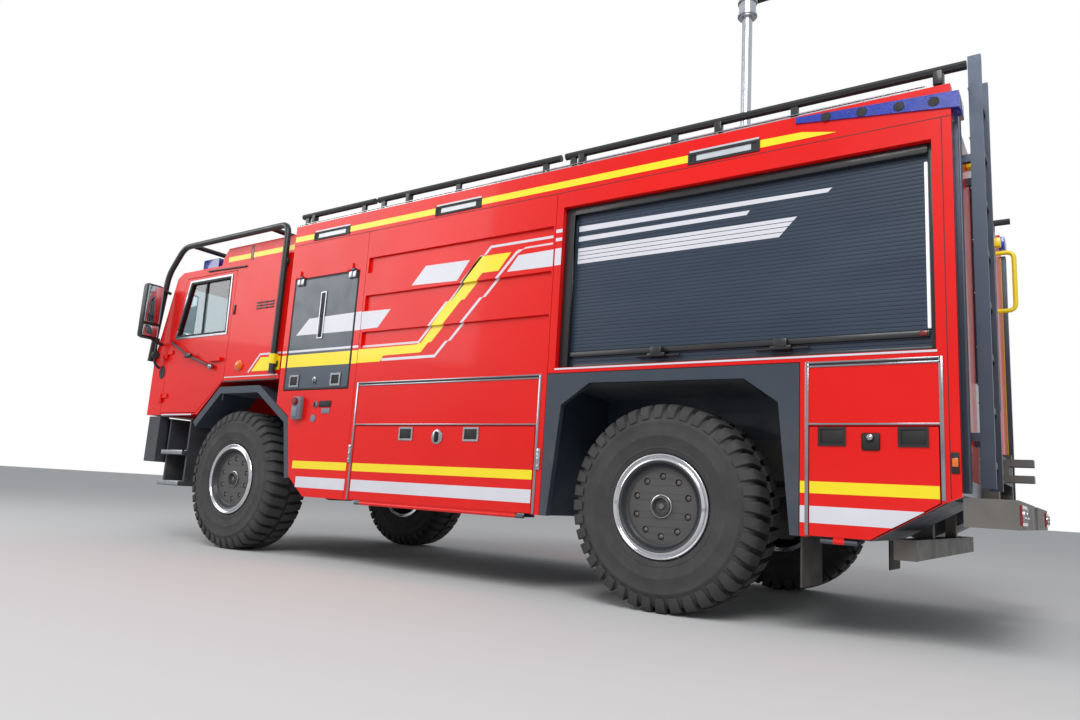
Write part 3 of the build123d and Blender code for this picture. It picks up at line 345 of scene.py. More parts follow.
def tyre_shape(centre):
    """A casing with a ring of folded lugs on each shoulder, half a lug apart."""
    shape = bmesh.new()
    other_half = [(radius, -x) for radius, x in reversed(casing_half)]
    turned(shape, [*casing_half, casing_crown, *other_half], centre)
    for side in (1, -1):
        for lug in range(lug_count):
            middle = 2 * pi * (lug + (0.5 if side < 0 else 0.0)) / lug_count
            rows = []
            for x, outer, inner, half_outer, half_inner in lug_stations:
                lean = lug_lean * x / lug_edge
                corners = []
                for reach, half in ((inner, -half_inner), (outer, -half_outer), (outer, half_outer),
                                    (inner, half_inner)):
                    turn = middle + lean + half / wheel_radius
                    y = centre[1] + reach * cos(turn)
                    z = centre[2] + reach * sin(turn)
                    corners.append(shape.verts.new((centre[0] + side * x, y, z)))
                rows.append(corners)
            skin(shape, rows, closed_rows=False)
            shape.faces.new(rows[0])
            shape.faces.new(list(reversed(rows[-1])))
    return shape


for axle_name, axle in axles:
    for side in ("left", "right"):
        shape = tyre_shape((wheel_x, axle, wheel_radius))
        if side == "right":
            flip(shape)
        tyre = fit_piece(shape, f"tyre_dressed_{axle_name}_{side}", rubber, f"wheel_{axle_name}_{side}",
                         32)
        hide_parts(f"tyre_{axle_name}_{side}")

# Wheels: a polished rolled rim with painted shade over its dish, and a dark painted steel disc
# set back inside it. Ten nuts sit in round holes of the disc, round a hub with a bright ring.
rim_profile = (
    (265, -178), (294, -183), (297, -176), (290, -168), (270, -160), (262, -120), (258, 60), (262, 120),
    (276, 150), (294, 158), (297, 172), (294, 181), (289, 183), (284, 180), (281, 172), (276, 170),
    (270, 176), (262, 181), (252, 182), (244, 178), (236, 168), (228, 152), (222, 146), (217, 144),
    (214, 138), (214, 104), (235, 90), (247, 40), (250, -120),
)
disc_radius = 213
disc_face = 140
disc_thickness = 10
hole_circle = 167.5
hole_radius = 20
hole_count = 10
disc_and_shade_rings = (
    # steps round, profile: turned-in edge, raised bead, hub's cup, painted shade over the rim's dish
    (72, ((213, 110), (213, 131), (206, 131), (206, 110))),
    (72, ((211, 139), (211, 143), (205, 144), (203, 140))),
    (48, ((62, 139), (62, 148), (56, 162), (47, 166), (44, 160), (40, 140))),
    # Painted shade: a dark sheet in the disc's paint, laid just in front of the rim's polished dish.
    (turn_steps, (
        (257, 184), (252, 184.5), (244, 180.5), (236, 171), (228, 156), (222, 149.5), (212, 147),
        (212, 141), (222, 144), (236, 164), (252, 180), (257, 181),
    )),
)
hub_plate = ((1, 118), (205, 118), (205, 122), (1, 122))
hub_cap = ((1, 150), (16, 150), (18, 146), (18, 138), (38, 138), (40, 132), (1, 132))
hub_ring = ((65, 140), (65, 150), (60, 152), (57, 150), (57, 140))
wheel_nut = ((1, 140), (7, 140), (13, 136), (15, 131), (15, 122), (1, 122))
polished = finish("polished_rim", (214, 216, 220), 0.12, metallic=1.0, mottle=0.05, mottle_size=0.2,
                  grain=0.01, grain_depth=0.02, smudge=0.06)
disc_paint = finish("disc_paint", (33, 35, 40), 0.5, coat=0.1, mottle=0.15, mottle_size=0.08,
                    grain=0.003, grain_depth=0.08, worn=0.2)
bright_steel = finish("bright_steel", (176, 178, 182), 0.25, metallic=1.0, mottle=0.1,
                      mottle_size=0.05, grain=0.004, grain_depth=0.05)


def pierced_disc(centre):
    """The wheel's plate with its ring of round holes, standing across the truck."""
    curve = bpy.data.curves.new("disc_outline", "CURVE")
    curve.dimensions = "2D"
    curve.fill_mode = "BOTH"
    curve.extrude = disc_thickness / 2
    rings = [(0.0, 0.0, disc_radius, 72)]
    for hole in range(hole_count):
        turn = 2 * pi * (hole + 0.5) / hole_count
        rings.append((hole_circle * cos(turn), hole_circle * sin(turn), hole_radius, 24))
    for across, up, reach, steps in rings:
        spline = curve.splines.new("POLY")
        spline.points.add(steps - 1)
        spline.use_cyclic_u = True
        for step in range(steps):
            turn = 2 * pi * step / steps
            spline.points[step].co = (across + reach * cos(turn), up + reach * sin(turn), 0, 1)
    holder = bpy.data.objects.new("disc_outline", curve)
    mesh = bpy.data.meshes.new_from_object(holder)
    shape = bmesh.new()
    shape.from_mesh(mesh)
    bpy.data.objects.remove(holder)
    bpy.data.curves.remove(curve)
    bpy.data.meshes.remove(mesh)
    middle = (centre[0] + disc_face - disc_thickness / 2, centre[1], centre[2])
    upright = Matrix.Translation(middle) @ Matrix(
        ((0, 0, 1, 0), (1, 0, 0, 0), (0, 1, 0, 0), (0, 0, 0, 1))
    )
    bmesh.ops.transform(shape, matrix=upright, verts=shape.verts)
    return shape


for axle_name, axle in axles:
    centre = (wheel_x, axle, wheel_radius)
    for side in ("left", "right"):
        body = f"wheel_{axle_name}_{side}"
        rim, fittings, ring = bmesh.new(), bmesh.new(), bmesh.new()
        turned(rim, rim_profile, centre)
        disc = pierced_disc(centre)
        for steps, profile in disc_and_shade_rings:
            turned(disc, profile, centre, steps)
        turned(fittings, hub_plate, centre, 48)
        turned(fittings, hub_cap, centre, 32)
        for nut in range(hole_count):
            turn = 2 * pi * (nut + 0.5) / hole_count
            nut_y = centre[1] + hole_circle * cos(turn)
            nut_z = centre[2] + hole_circle * sin(turn)
            turned(fittings, wheel_nut, (centre[0], nut_y, nut_z), 6)
        turned(ring, hub_ring, centre, 48)
        if side == "right":
            for shape in (rim, disc, fittings, ring):
                flip(shape)
        rim = fit_piece(rim, f"polished_rim_{axle_name}_{side}", polished, body, 60)
        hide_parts(f"rim_{axle_name}_{side}")
        fit_piece(disc, f"wheel_disc_and_shade_{axle_name}_{side}", disc_paint, body)
        fit_piece(fittings, f"wheel_nuts_{axle_name}_{side}", chassis_black, body)
        fit_piece(ring, f"hub_ring_{axle_name}_{side}", bright_steel, body)

# Cab: a red painted shell of bent sheet, with a door on each side and a roof box behind.
# Rubber seals, a bright window frame, a rain gutter, vents and side lamps are fixed onto it.
cab_side = 1240
door_face = 1241
window = [(-5152, 1890), (-4371, 1890), (-4389, 2405), (-5016, 2405)]
fire_red = finish("fire_red", (224, 12, 5), 0.34, coat=0.22, specular=0.25, mottle=0.05,
                  mottle_size=0.9, grain=0.012, grain_depth=0.008, smudge=0.05, dust=0.08, dust_top=0.9)
black_rubber = finish("black_rubber", (20, 20, 22), 0.6, grain=0.003, grain_depth=0.2)
tube_black = finish("tube_black", (26, 27, 30), 0.42, coat=0.2, grain=0.003, grain_depth=0.1)
chrome = finish("chrome", (158, 160, 166), 0.2, metallic=1.0, mottle=0.05, mottle_size=0.1,
                grain=0.004, grain_depth=0.03, smudge=0.05)
amber_lens = finish("amber_lens", (226, 108, 12), 0.14, coat=0.8, grain=0.006, grain_depth=0.2)
dark_red = finish("dark_red", (120, 16, 18), 0.3, coat=0.4)
reflective_silver = finish("reflective_silver", (214, 214, 222), 0.38, coat=0.25, mottle=0.05,
                           grain=0.003, grain_depth=0.06)
paint(fire_red, 14, "cab_shell")
paint(fire_red, 3, "cab_door_left", "cab_door_right")
paint(fire_red, 22, "roof_box")


def slab(shape, outline, x, rise):
    """A flat plate with a (y, z) outline, from x outwards by rise."""
    inner = [shape.verts.new((x, y, z)) for y, z in outline]
    outer = [shape.verts.new((x + rise, y, z)) for y, z in outline]
    shape.faces.new(list(reversed(inner)))
    shape.faces.new(outer)
    skin(shape, [inner, outer], closed_rows=False)


def frame_of(shape, outer, inner, x, rise):
    """A flat frame between two (y, z) outlines with as many corners, from x outwards by rise."""
    skin(shape, [
        [shape.verts.new((depth, y, z)) for y, z in outline]
        for outline, depth in ((outer, x), (outer, x + rise), (inner, x + rise), (inner, x))
    ])


def grown(outline, amount):
    """A (y, z) outline moved out from its middle by an amount along each axis."""
    middle_y = sum(y for y, z in outline) / len(outline)
    middle_z = sum(z for y, z in outline) / len(outline)
    return [(y + (amount if y > middle_y else -amount), z + (amount if z > middle_z else -amount))
            for y, z in outline]


def oblong(y, z):
    """The outline between two y and two z."""
    return [(y[0], z[0]), (y[1], z[0]), (y[1], z[1]), (y[0], z[1])]


def block(shape, low, high, ease=3.0):
    """A solid between two corners, with rounded edges."""
    corners = [
        shape.verts.new((x, y, z))
        for x in (low[0], high[0]) for y in (low[1], high[1]) for z in (low[2], high[2])
    ]
    faces = [
        shape.faces.new([corners[point] for point in points])
        for points in (
            (0, 1, 3, 2), (4, 6, 7, 5), (0, 4, 5, 1), (2, 3, 7, 6), (0, 2, 6, 4), (1, 5, 7, 3)
        )
    ]
    edges = list(dict.fromkeys(edge for face in faces for edge in face.edges))
    bmesh.ops.bevel(shape, geom=edges, offset=ease, segments=2, profile=0.5, affect="EDGES")


def lathe(shape, profile, place, line, steps=32, closed=False):
    """Turns (radius, along) points about a line through a place."""
    axis = Vector(line).normalized()
    across = axis.orthogonal().normalized()
    third = axis.cross(across)
    rings = []
    for step in range(steps):
        turn = 2 * pi * (step + 0.5) / steps
        out = across * cos(turn) + third * sin(turn)
        rings.append([
            shape.verts.new(Vector(place) + out * radius + axis * reach) for radius, reach in profile
        ])
    skin(shape, rings, closed_points=closed)


def pipe(shape, points, radius, bend=0.0, sides=14):
    """A round bar along points, with its corners bent."""
    points = [Vector(point) for point in points]
    route = [points[0]]
    for before, corner, after in zip(points, points[1:], points[2:]):
        back = (before - corner).normalized() * bend
        on = (after - corner).normalized() * bend
        for step in range(9):
            share = step / 8
            route.append(corner + back * (1 - share) ** 2 + on * share ** 2)
    route.append(points[-1])
    if not bend:
        route = points
    heading = (route[1] - route[0]).normalized()
    across = heading.orthogonal().normalized()
    rings = []
    for number, point in enumerate(route):
        before = route[max(number - 1, 0)]
        after = route[min(number + 1, len(route) - 1)]
        heading = (after - before).normalized()
        across = (across - heading * across.dot(heading)).normalized()
        third = heading.cross(across)
        turns = [2 * pi * side / sides for side in range(sides)]
        rings.append([
            shape.verts.new(point + radius * (across * cos(turn) + third * sin(turn))) for turn in turns
        ])
    skin(shape, rings, closed_rows=False)
    shape.faces.new(list(reversed(rings[0])))
    shape.faces.new(rings[-1])


def pair(name, material, body, build, smooth=crease_angle):
    """A piece on the left and its mirror image on the right, each on its own body."""
    for side in ("left", "right"):
        shape = bmesh.new()
        build(shape)
        if side == "right":
            flip(shape)
        fit_piece(shape, f"{name}_{side}", material, body.replace("SIDE", side), smooth)


def window_trim(shape):
    frame_of(shape, grown(window, 26), grown(window, 8), door_face, 5)


def window_seal(shape):
    frame_of(shape, grown(window, 9), grown(window, -10), cab_side - 16, 20)
    slab(shape, [(-4770, 1894), (-4752, 1894), (-4772, 2402), (-4790, 2402)], cab_side - 17, 10)


def cab_black_trim(shape):
    """The gutter over the door, the slots of the vent, a low groove and the door's hinges."""
    pipe(shape, ((door_face + 5, -4760, 2497), (door_face + 5, -4170, 2480)), 8)
    for row in range(3):
        for part in range(3):
            y = -3948 + part * 84
            z = 2060 + row * 26
            block(shape, (door_face - 2, y, z), (door_face + 5, y + 70, z + 14), 2)
    slab(shape, oblong((-4310, -3560), (1424, 1436)), door_face, 3)
    for z in (2040, 1260):
        block(shape, (door_face - 1, -4286, z), (door_face + 9, -4262, z + 90), 3)


def cab_pale_trim(shape):
    slab(shape, oblong((-5236, -4740), (1134, 1146)), door_face - 1, 4)
    slab(shape, oblong((-4300, -3550), (1462, 1471)), door_face - 1, 4)


def door_pull(shape):
    """A round recess, stretched upwards."""
    place = Vector((cab_side, -5330, 1553))
    lathe(shape, ((1, 3), (40, 3), (48, 6), (52, 2), (52, -1), (1, -1)), place, (1, 0, 0), 40)
    bmesh.ops.scale(shape, vec=(1, 0.9, 1.25), verts=shape.verts, space=Matrix.Translation(-place))


def door_arm(shape):
    pipe(shape, ((1242, -5215, 1846), (1278, -5160, 1826), (1280, -4880, 1694), (1262, -4500, 1572)),
         11, 30)
    block(shape, (1268, -4900, 1664), (1296, -4800, 1706), 8)
    foot = ((0.5, 0), (18, 0), (18, 4), (9, 8), (9, 24), (0.5, 24))
    lathe(shape, foot, (1240, -4500, 1572), (1, 0, 0), 20)


def arm_ball(shape):
    profile = [(0.5 + 25 * sin(pi * turn / 10), -25 * cos(pi * turn / 10)) for turn in range(11)]
    lathe(shape, profile, (1268, -4492, 1570), (1, 0, 0), 28)


def side_lamp(shape):
    profile = ((46, 0), (46, 10), (38, 14), (36, 24), (22, 34), (0.5, 37))
    lathe(shape, profile, (door_face - 1, -4100, 1565), (1, 0, 0), 32)


def roof_marker(shape):
    block(shape, (1130, -4225, 2530), (1184, -4175, 2700), 10)
    lathe(shape, ((0.5, 0), (14, 0), (16, 8), (12, 22), (0.5, 26)), (1157, -4200, 2700), (0, 0, 1), 20)


pair("window_trim", chrome, "cab_door_SIDE", window_trim)
pair("window_seal", black_rubber, "cab_door_SIDE", window_seal)
pair("cab_black_trim", tube_black, "truck", cab_black_trim)
pair("cab_pale_trim", reflective_silver, "truck", cab_pale_trim)
pair("door_pull", black_rubber, "truck", door_pull)
pair("door_arm", tube_black, "cab_door_SIDE", door_arm)
pair("arm_ball", chrome, "cab_door_SIDE", arm_ball)
pair("side_lamp", amber_lens, "truck", side_lamp)
pair("roof_marker", dark_red, "truck", roof_marker)

# Stripes: reflective film stuck on the paint, which follows the channels of the tank's panels.
# A yellow band climbs from the cab to the roof line between two thin silver lines.
# Two bands run low along the body, cut where a lid opens, so that each lid carries its own.
film = 0.8
body_side = 1275
body_front = -3500
roof_box_side = 1180
channels = ((1628, 1751), (1915, 2039), (2216, 2342))
channel_depth = 22
tank_foot, tank_top = 1400, 2560
yellow_band = (1510, 1612)
silver_line = (1632, 1650)
low_yellow = (697, 756)
low_silver = (552, 635)
roof_band = (2592, 2638)
beside_hatch = ((-3466, -3409), (-2618, -2555))
hatch_run = (-3399, -2628)
flap_run = (-2489, -857)
reflective_yellow = finish("reflective_yellow", (246, 222, 10), 0.36, coat=0.3, mottle=0.04,
                           grain=0.003, grain_depth=0.06)


def kept(outline, low, high):
    """The part of a (y, z) outline between two heights."""
    for edge, sign in ((low, 1), (high, -1)):
        inside = []
        for here, there in zip(outline, outline[1:] + outline[:1]):
            here_in = sign * (here[1] - edge) >= 0
            there_in = sign * (there[1] - edge) >= 0
            if here_in:
                inside.append(here)
            if here_in != there_in:
                share = (edge - here[1]) / (there[1] - here[1])
                inside.append((here[0] + share * (there[0] - here[0]), edge))
        outline = inside
        if len(outline) < 3:
            return []
    return outline


def on_tank(shape, outline):
    """Film on the tank's panel, let down into its channels and stuck round their edges."""
    levels = [tank_foot] + [edge for row in channels for edge in row] + [tank_top]
    for number, (low, high) in enumerate(zip(levels, levels[1:])):
        piece = kept(outline, low, high)
        if piece:
            slab(shape, piece, body_side - (channel_depth if number % 2 else 0), film)
    for row in channels:
        for edge, lift in ((row[0], film), (row[1], -film)):
            crossed = sorted(
                here[0] + (edge - here[1]) / (there[1] - here[1]) * (there[0] - here[0])
                for here, there in zip(outline, outline[1:] + outline[:1])
                if (here[1] - edge) * (there[1] - edge) < 0
            )
            for start, end in zip(crossed[::2], crossed[1::2]):
                block(shape, (body_side - channel_depth, start, min(edge, edge + lift)),
                      (body_side, end, max(edge, edge + lift)), 0.2)


def on_body(shape, outline):
    """Film on the body's flat side, or ahead of the body on the cab's roof box."""
    slab(shape, outline, body_side if outline[0][0] > body_front else roof_box_side, film)


def on_cab(shape, outline):
    """Film on the cab, behind its door."""
    slab(shape, outline, door_face - 1, film)


def line_of(width, *points):
    """The outline of a line of even width along (y, z) points, with mitred corners."""
    left, right = [], []
    for number, point in enumerate(points):
        before = points[max(number - 1, 0)]
        after = points[min(number + 1, len(points) - 1)]
        one = Vector((point[0] - before[0], point[1] - before[1]))
        other = Vector((after[0] - point[0], after[1] - point[1]))
        one = one.normalized() if one.length else other.normalized()
        other = other.normalized() if other.length else one
        middle = (one + other).normalized()
        reach = width / 2 / max(0.3, middle.dot(one))
        left.append((point[0] - middle.y * reach, point[1] + middle.x * reach))
        right.append((point[0] + middle.y * reach, point[1] - middle.x * reach))
    return left + right[::-1]


for piece_name, sheet, body, slot, lay, outlines in (
    ("tank_silver", reflective_silver, "truck", "red_paint", on_tank, (
        line_of(18, (-2549, 1640), (-1948, 1641), (-1335, 2277), (-789, 2277)),
        line_of(20, (-2290, 1525), (-1760, 1526), (-1093, 2198), (-1034, 2226), (-789, 2228)),
        [(-2046, 2070), (-1606, 2058), (-1501, 2198), (-1917, 2204)],
        [(-1164, 2072), (-794, 2068), (-794, 2181), (-1076, 2177)],
        [(-2549, 1772), (-2363, 1776), (-2242, 1908), (-2549, 1912)],
    )),
    ("tank_yellow", reflective_yellow, "truck", "red_paint", on_tank, (
        [(-2549, 1512), (-2306, 1512), (-2275, 1555), (-1898, 1560), (-1379, 2090), (-1240, 2089),
         (-1139, 2207), (-1417, 2210), (-1935, 1620), (-2549, 1616)],
    )),
    ("front_yellow", reflective_yellow, "truck", "red_paint", on_body, (
        *(oblong(run, yellow_band) for run in beside_hatch),
        oblong((-3180, -2555), low_yellow),
    )),
    ("front_silver", reflective_silver, "truck", "red_paint", on_body, (
        *(oblong(run, silver_line) for run in beside_hatch),
        oblong(beside_hatch[1], (1770, 1916)),
        oblong((-3120, -2555), low_silver),
    )),
    ("rear_yellow", reflective_yellow, "truck", "red_paint", on_body, (
        oblong((799, 836), low_yellow),
    )),
    ("cab_yellow", reflective_yellow, "truck", "red_paint", on_cab, (
        [(-3917, 1507), (-3535, 1507), (-3535, 1624), (-3806, 1624)],
    )),
    ("cab_silver", reflective_silver, "truck", "red_paint", on_cab, (
        line_of(16, (-3962, 1500), (-3818, 1652), (-3535, 1652)),
    )),
    ("hatch_yellow", reflective_yellow, "hatch_SIDE", "grey_paint", on_body, (
        oblong(hatch_run, yellow_band),
    )),
    ("hatch_silver", reflective_silver, "hatch_SIDE", "grey_paint", on_body, (
        oblong(hatch_run, silver_line),
        [(-3316, 1774), (-2628, 1770), (-2628, 1916), (-3170, 1907)],
    )),
    ("flap_yellow", reflective_yellow, "locker_flap_SIDE", "red_paint", on_body, (
        oblong(flap_run, low_yellow),
    )),
    ("flap_silver", reflective_silver, "locker_flap_SIDE", "red_paint", on_body, (
        oblong(flap_run, low_silver),
    )),
    ("rear_flap_yellow", reflective_yellow, "rear_flap_SIDE", "red_paint", on_body, (
        oblong((846, 1433), low_yellow),
    )),
    ("rear_flap_silver", reflective_silver, "rear_flap_SIDE", "red_paint", on_body, (
        [(846, 552), (1228, 552), (1368, 635), (846, 635)],
    )),
    ("cornice_yellow", reflective_yellow, "truck", "red_paint", on_body, (
        *(oblong(run, roof_band) for run in ((-3464, -3222), (-2788, -1867), (-1433, 135))),
        [(569, 2592), (983, 2594), (800, 2634), (569, 2638)],
        oblong((-4560, -3600), (2580, 2627)),
    )),
):
    def laid(shape):
        for outline in outlines:
            lay(shape, outline)

    pair(piece_name, sheet, body, laid, 0)


def rear_silver(shape):
    """The ends of the silver lines, the low band's end and the strip under the shutter."""
    for heights in ((2289, 2312), (2232, 2254), (2070, 2183)):
        on_body(shape, oblong((-781, -732), heights))
    on_body(shape, oblong((799, 836), low_silver))
    slab(shape, oblong((-731, 1437), (1384, 1394)), body_side, 3)


pair("rear_silver", reflective_silver, "truck", rear_silver, 0)

# Body sides: painted aluminium panels, framed where the lower lockers open.
# Bright edge strips run round the flaps, black grooves part the panels, and small latches
# and an amber marker are riveted on.
strip_top = 1362
body_ends = (-3466, 1522)
arch_paint = finish("arch_paint", (42, 54, 68), 0.45, coat=0.15, grain=0.006, grain_depth=0.06,
                    dust=0.2, dust_top=1.4)
paint(fire_red, 3, "front_panels", "tank_panels", "rear_panels", "cornice", "locker_flap_left",
      "locker_flap_right", "rear_flap_left", "rear_flap_right")
paint(arch_paint, 4, "wheel_arches")


def raised(shape, y, z, rise, ease=3.0, foot=-1):
    """A block on the body's side between two y and two z, standing out by rise."""
    block(shape, (body_side + foot, y[0], z[0]), (body_side + rise, y[1], z[1]), ease)


def button(shape, profile, y, z, steps, foot=0):
    """A round fitting on the body's side."""
    lathe(shape, profile, (body_side + foot, y, z), (1, 0, 0), steps)


def bright_strips(shape):
    for front, back in ((-2512, -834), (832, 1450)):
        for z in (strip_top - 10, strip_top - 30):
            raised(shape, (front, back), (z, z + 9), 5, 1.5)
        for edge in (front, back):
            foot = 690 if edge == 1450 else 490
            raised(shape, (edge - 9, edge + 9), (foot, strip_top), 5, 2)
        raised(shape, (front + 9, back - 9), (1038, 1047), 4, 1.5)


def dark_grooves(shape):
    for run in ((-2503, -843), (841, 1441)):
        slab(shape, oblong(run, (strip_top - 20, strip_top - 10)), body_side - 1, 2.5)
    slab(shape, oblong(body_ends, (2558, 2562)), body_side - 1, 1.6)
    slab(shape, oblong((1478, 1482), (700, 2556)), body_side - 1, 1.6)


def latches(shape):
    for y in (-2528, -812):
        raised(shape, (y - 14, y + 14), (758, 890), 10)
        for z in (780, 826, 872):
            button(shape, ((10, 0), (10, 3), (6, 5), (0.5, 5)), y, z, 16, 10)


def side_marker(shape):
    raised(shape, (1484, 1518), (815, 912), 8, 4)


def side_marker_lens(shape):
    raised(shape, (1488, 1514), (845, 885), 16, 4, foot=6)


pair("bright_strips", chrome, "truck", bright_strips)
pair("dark_grooves", black_rubber, "truck", dark_grooves)
pair("latches", bright_steel, "truck", latches)
pair("side_marker", black_rubber, "truck", side_marker)
pair("side_marker_lens", amber_lens, "truck", side_marker_lens)

# Hatches: dark grey lids over the front lockers, with bright hinges, grips and a slotted window.
# Sockets for air and current sit below on the red panel, moulded in grey and black plastic.
hatch_grips = (-3273, -2776)
hatch_slot = oblong((-3040, -2992), (1742, 2110))
body_grey = finish("body_grey", (50, 62, 78), 0.36, coat=0.3, grain=0.006, grain_depth=0.04)
socket_plastic = finish("socket_plastic", (112, 122, 134), 0.5, grain=0.003, grain_depth=0.15)
paint(body_grey, 3, "hatch_left", "hatch_right")


def hatch_bright(shape):
    """Two hinges, the frames of the slot and the grips, and the lock with its key plate."""
    for hinge in (-3320, -2690):
        for middle in (hinge - 24, hinge + 24):
            raised(shape, (middle - 20, middle + 20), (2196, 2254), 16, 4)
    frame_of(shape, grown(hatch_slot, 9), hatch_slot, body_side, 7)
    for y in hatch_grips:
        well = oblong((y - 50, y + 50), (1352, 1436))
        frame_of(shape, grown(well, 8), grown(well, -8), body_side, 7)
    button(shape, ((24, 0), (24, 6), (18, 9), (0.5, 10)), -3022, 1398, 24)
    raised(shape, (-3026, -3018), (1362, 1412), 18, foot=8)


def hatch_dark(shape):
    raised(shape, (-3036, -2996), (1746, 2106), 3, 2)
    for y in hatch_grips:
        raised(shape, (y - 46, y + 46), (1358, 1430), 3)
    outer = oblong((-3400, -2627), (1323, 2253))
    frame_of(shape, outer, grown(outer, -12), body_side, 1.5)


def socket_grey(shape):
    raised(shape, (-3214, -3120), (1080, 1262), 46, 10)
    raised(shape, (-3200, -3134), (1096, 1180), 58, 8, foot=40)
    raised(shape, (-2900, -2806), (1128, 1168), 5)
    button(shape, ((30, 0), (30, 5), (18, 7), (0.5, 7)), -2990, 1090, 24)
    button(shape, ((26, 0), (26, 8), (20, 14), (0.5, 14)), -2975, 1200, 24)


def socket_dark(shape):
    raised(shape, (-2936, -2796), (1178, 1228), 6, 4)
    raised(shape, (-2985, -2965), (1180, 1220), 20, 4, foot=4)


def socket_red(shape):
    button(shape, ((30, 0), (30, 22), (24, 30), (0.5, 30)), -3167, 1222, 28, 44)


pair("hatch_bright", chrome, "hatch_SIDE", hatch_bright)
pair("hatch_dark", black_rubber, "hatch_SIDE", hatch_dark)
pair("socket_grey", socket_plastic, "truck", socket_grey)
pair("socket_dark", black_rubber, "truck", socket_dark)
pair("socket_red", dark_red, "truck", socket_red)

# Flaps: red sheet lids over the lower lockers, hinged along the foot, that fold down.
# Each has two recessed grips with a raised rim, and a turning lock or a knob between them.
flap_grips = (-1970, -1372)
rear_flap_grips = (955, 1326)


def grip_rim(shape, y, z):
    """The raised rim of a recessed grip."""
    well = oblong((y - 58, y + 58), (z - 38, z + 38))
    frame_of(shape, grown(well, 9), grown(well, -4), body_side, 6)


def grip_well(shape, y, foot):
    """The dark floor of a recessed grip."""
    raised(shape, (y - 56, y + 56), (foot, foot + 72), 2.5, 4)


def flap_bright(shape):
    for y in flap_grips:
        grip_rim(shape, y, 976)
    button(shape, ((50, 0), (50, 6), (42, 10), (0.5, 10)), -1670, 956, 32)


def flap_dark(shape):
    for y in flap_grips:
        grip_well(shape, y, 940)
    raised(shape, (-1682, -1658), (918, 994), 26, 8, foot=8)


def rear_flap_dark(shape):
    for y in rear_flap_grips:
        grip_rim(shape, y, 980)
        grip_well(shape, y, 944)
    raised(shape, (1096, 1180), (914, 998), 8, 8)


def rear_flap_knob(shape):
    button(shape, ((16, 0), (18, 10), (14, 20), (0.5, 24)), 1138, 976, 24, 8)


pair("flap_bright", bright_steel, "locker_flap_SIDE", flap_bright)
pair("flap_dark", black_rubber, "locker_flap_SIDE", flap_dark)
pair("rear_flap_dark", black_rubber, "rear_flap_SIDE", rear_flap_dark)
pair("rear_flap_knob", bright_steel, "rear_flap_SIDE", rear_flap_knob)

# Shutters: curtains of narrow dark slats in black side rails, with a lift bar along the foot.
# Reflective strips run back along the slats, and a bright lamp strip lights the rear rail.
shutter_face = 1205
rear_shutter_face = 1454
slat_pitch = 22.07
slat_count = 48
shutter_grey = finish("shutter_grey", (42, 56, 74), 0.34, metallic=0.2, coat=0.3, grain=0.004,
                      grain_depth=0.05, stretch=(1, 0.2, 1))
lamp_white = finish("lamp_white", (236, 240, 244), 0.3, glow=0.35, grain=0.004)


def double(shape):
    """Adds the mirror image on the right side."""
    copy = bmesh.ops.duplicate(shape, geom=shape.verts[:] + shape.edges[:] + shape.faces[:])["geom"]
    verts = [item for item in copy if isinstance(item, bmesh.types.BMVert)]
    bmesh.ops.scale(shape, vec=(-1, 1, 1), verts=verts)


def single(name, material, body, build, smooth=crease_angle, mirrored=True):
    """A piece that holds both sides, or the middle, on one body."""
    shape = bmesh.new()
    build(shape)
    if mirrored:
        double(shape)
    return fit_piece(shape, name, material, body, smooth)


def slat_line(face, foot):
    """The (out, up) section of a curtain of sloping slats."""
    points = [(face - 24, foot)]
    for slat in range(slat_count):
        low = foot + slat * slat_pitch
        points += [(face - 2, low), (face - 0.5, low + 1.5), (face, low + 4), (face - 0.8, low + 20)]
    return points + [(face - 24, foot + slat_count * slat_pitch)]


def curtains(shape):
    """The two side curtains, and the rear one across the truck."""
    for section, ends, at_side in (
        (slat_line(shutter_face, 1397), (-730, 1433), True),
        (slat_line(rear_shutter_face, 1335), (-558, 558), False),
    ):
        rows = [
            [shape.verts.new((out, end, up) if at_side else (end, out, up)) for out, up in section]
            for end in ends
        ]
        shape.faces.new(rows[0])
        shape.faces.new(list(reversed(rows[1])))
        skin(shape, rows, closed_rows=False)
        if at_side:
            double(shape)


def shutter_black(shape):
    """Rails round the curtain, the lift bar and its two grips."""
    for low, high, ease in (
        ((1196, -728, 1400), (1240, -664, 2453), 3),
        ((1196, 1410, 1400), (1232, 1431, 2453), 3),
        ((1190, -664, 2404), (1240, 1410, 2453), 3),
        ((1190, -664, 1400), (1216, 1410, 1424), 3),
        ((1202, -660, 1470), (1228, 1400, 1502), 5),
    ):
        block(shape, low, high, ease)
    for y in (-41, 687):
        block(shape, (1206, y - 56, 1440), (1262, y + 56, 1462), 5)
        block(shape, (1222, y - 36, 1450), (1266, y + 36, 1500), 8)
        pipe(shape, ((1232, y - 140, 1448), (1232, y + 140, 1448)), 8)


def shutter_lamp(shape):
    block(shape, (1206, 1390, 1512), (1218, 1406, 2366), 4)


def shutter_end(shape):
    block(shape, (1206, 1352, 1474), (1236, 1392, 1498), 5)


def shutter_silver(shape):
    for outline in (
        [(-648, 2299), (918, 2294), (942, 2317), (-648, 2336)],
        [(-648, 2233), (471, 2237), (490, 2262), (-648, 2265)],
        [(-648, 2083), (657, 2080), (680, 2104), (-648, 2108)],
        [(-648, 2112), (684, 2108), (706, 2132), (-648, 2135)],
        [(-648, 2139), (710, 2136), (732, 2159), (-648, 2161)],
        [(-648, 2165), (736, 2163), (756, 2184), (-648, 2187)],
    ):
        slab(shape, outline, shutter_face - 2, 2.6)


curtain_slats = single("curtain_slats", shutter_grey, "truck", curtains, 25, False)
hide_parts("shutters")
pair("shutter_black", tube_black, "truck", shutter_black)
pair("shutter_lamp", lamp_white, "truck", shutter_lamp)
pair("shutter_end", dark_red, "truck", shutter_end)
pair("shutter_silver", reflective_silver, "truck", shutter_silver, 0)

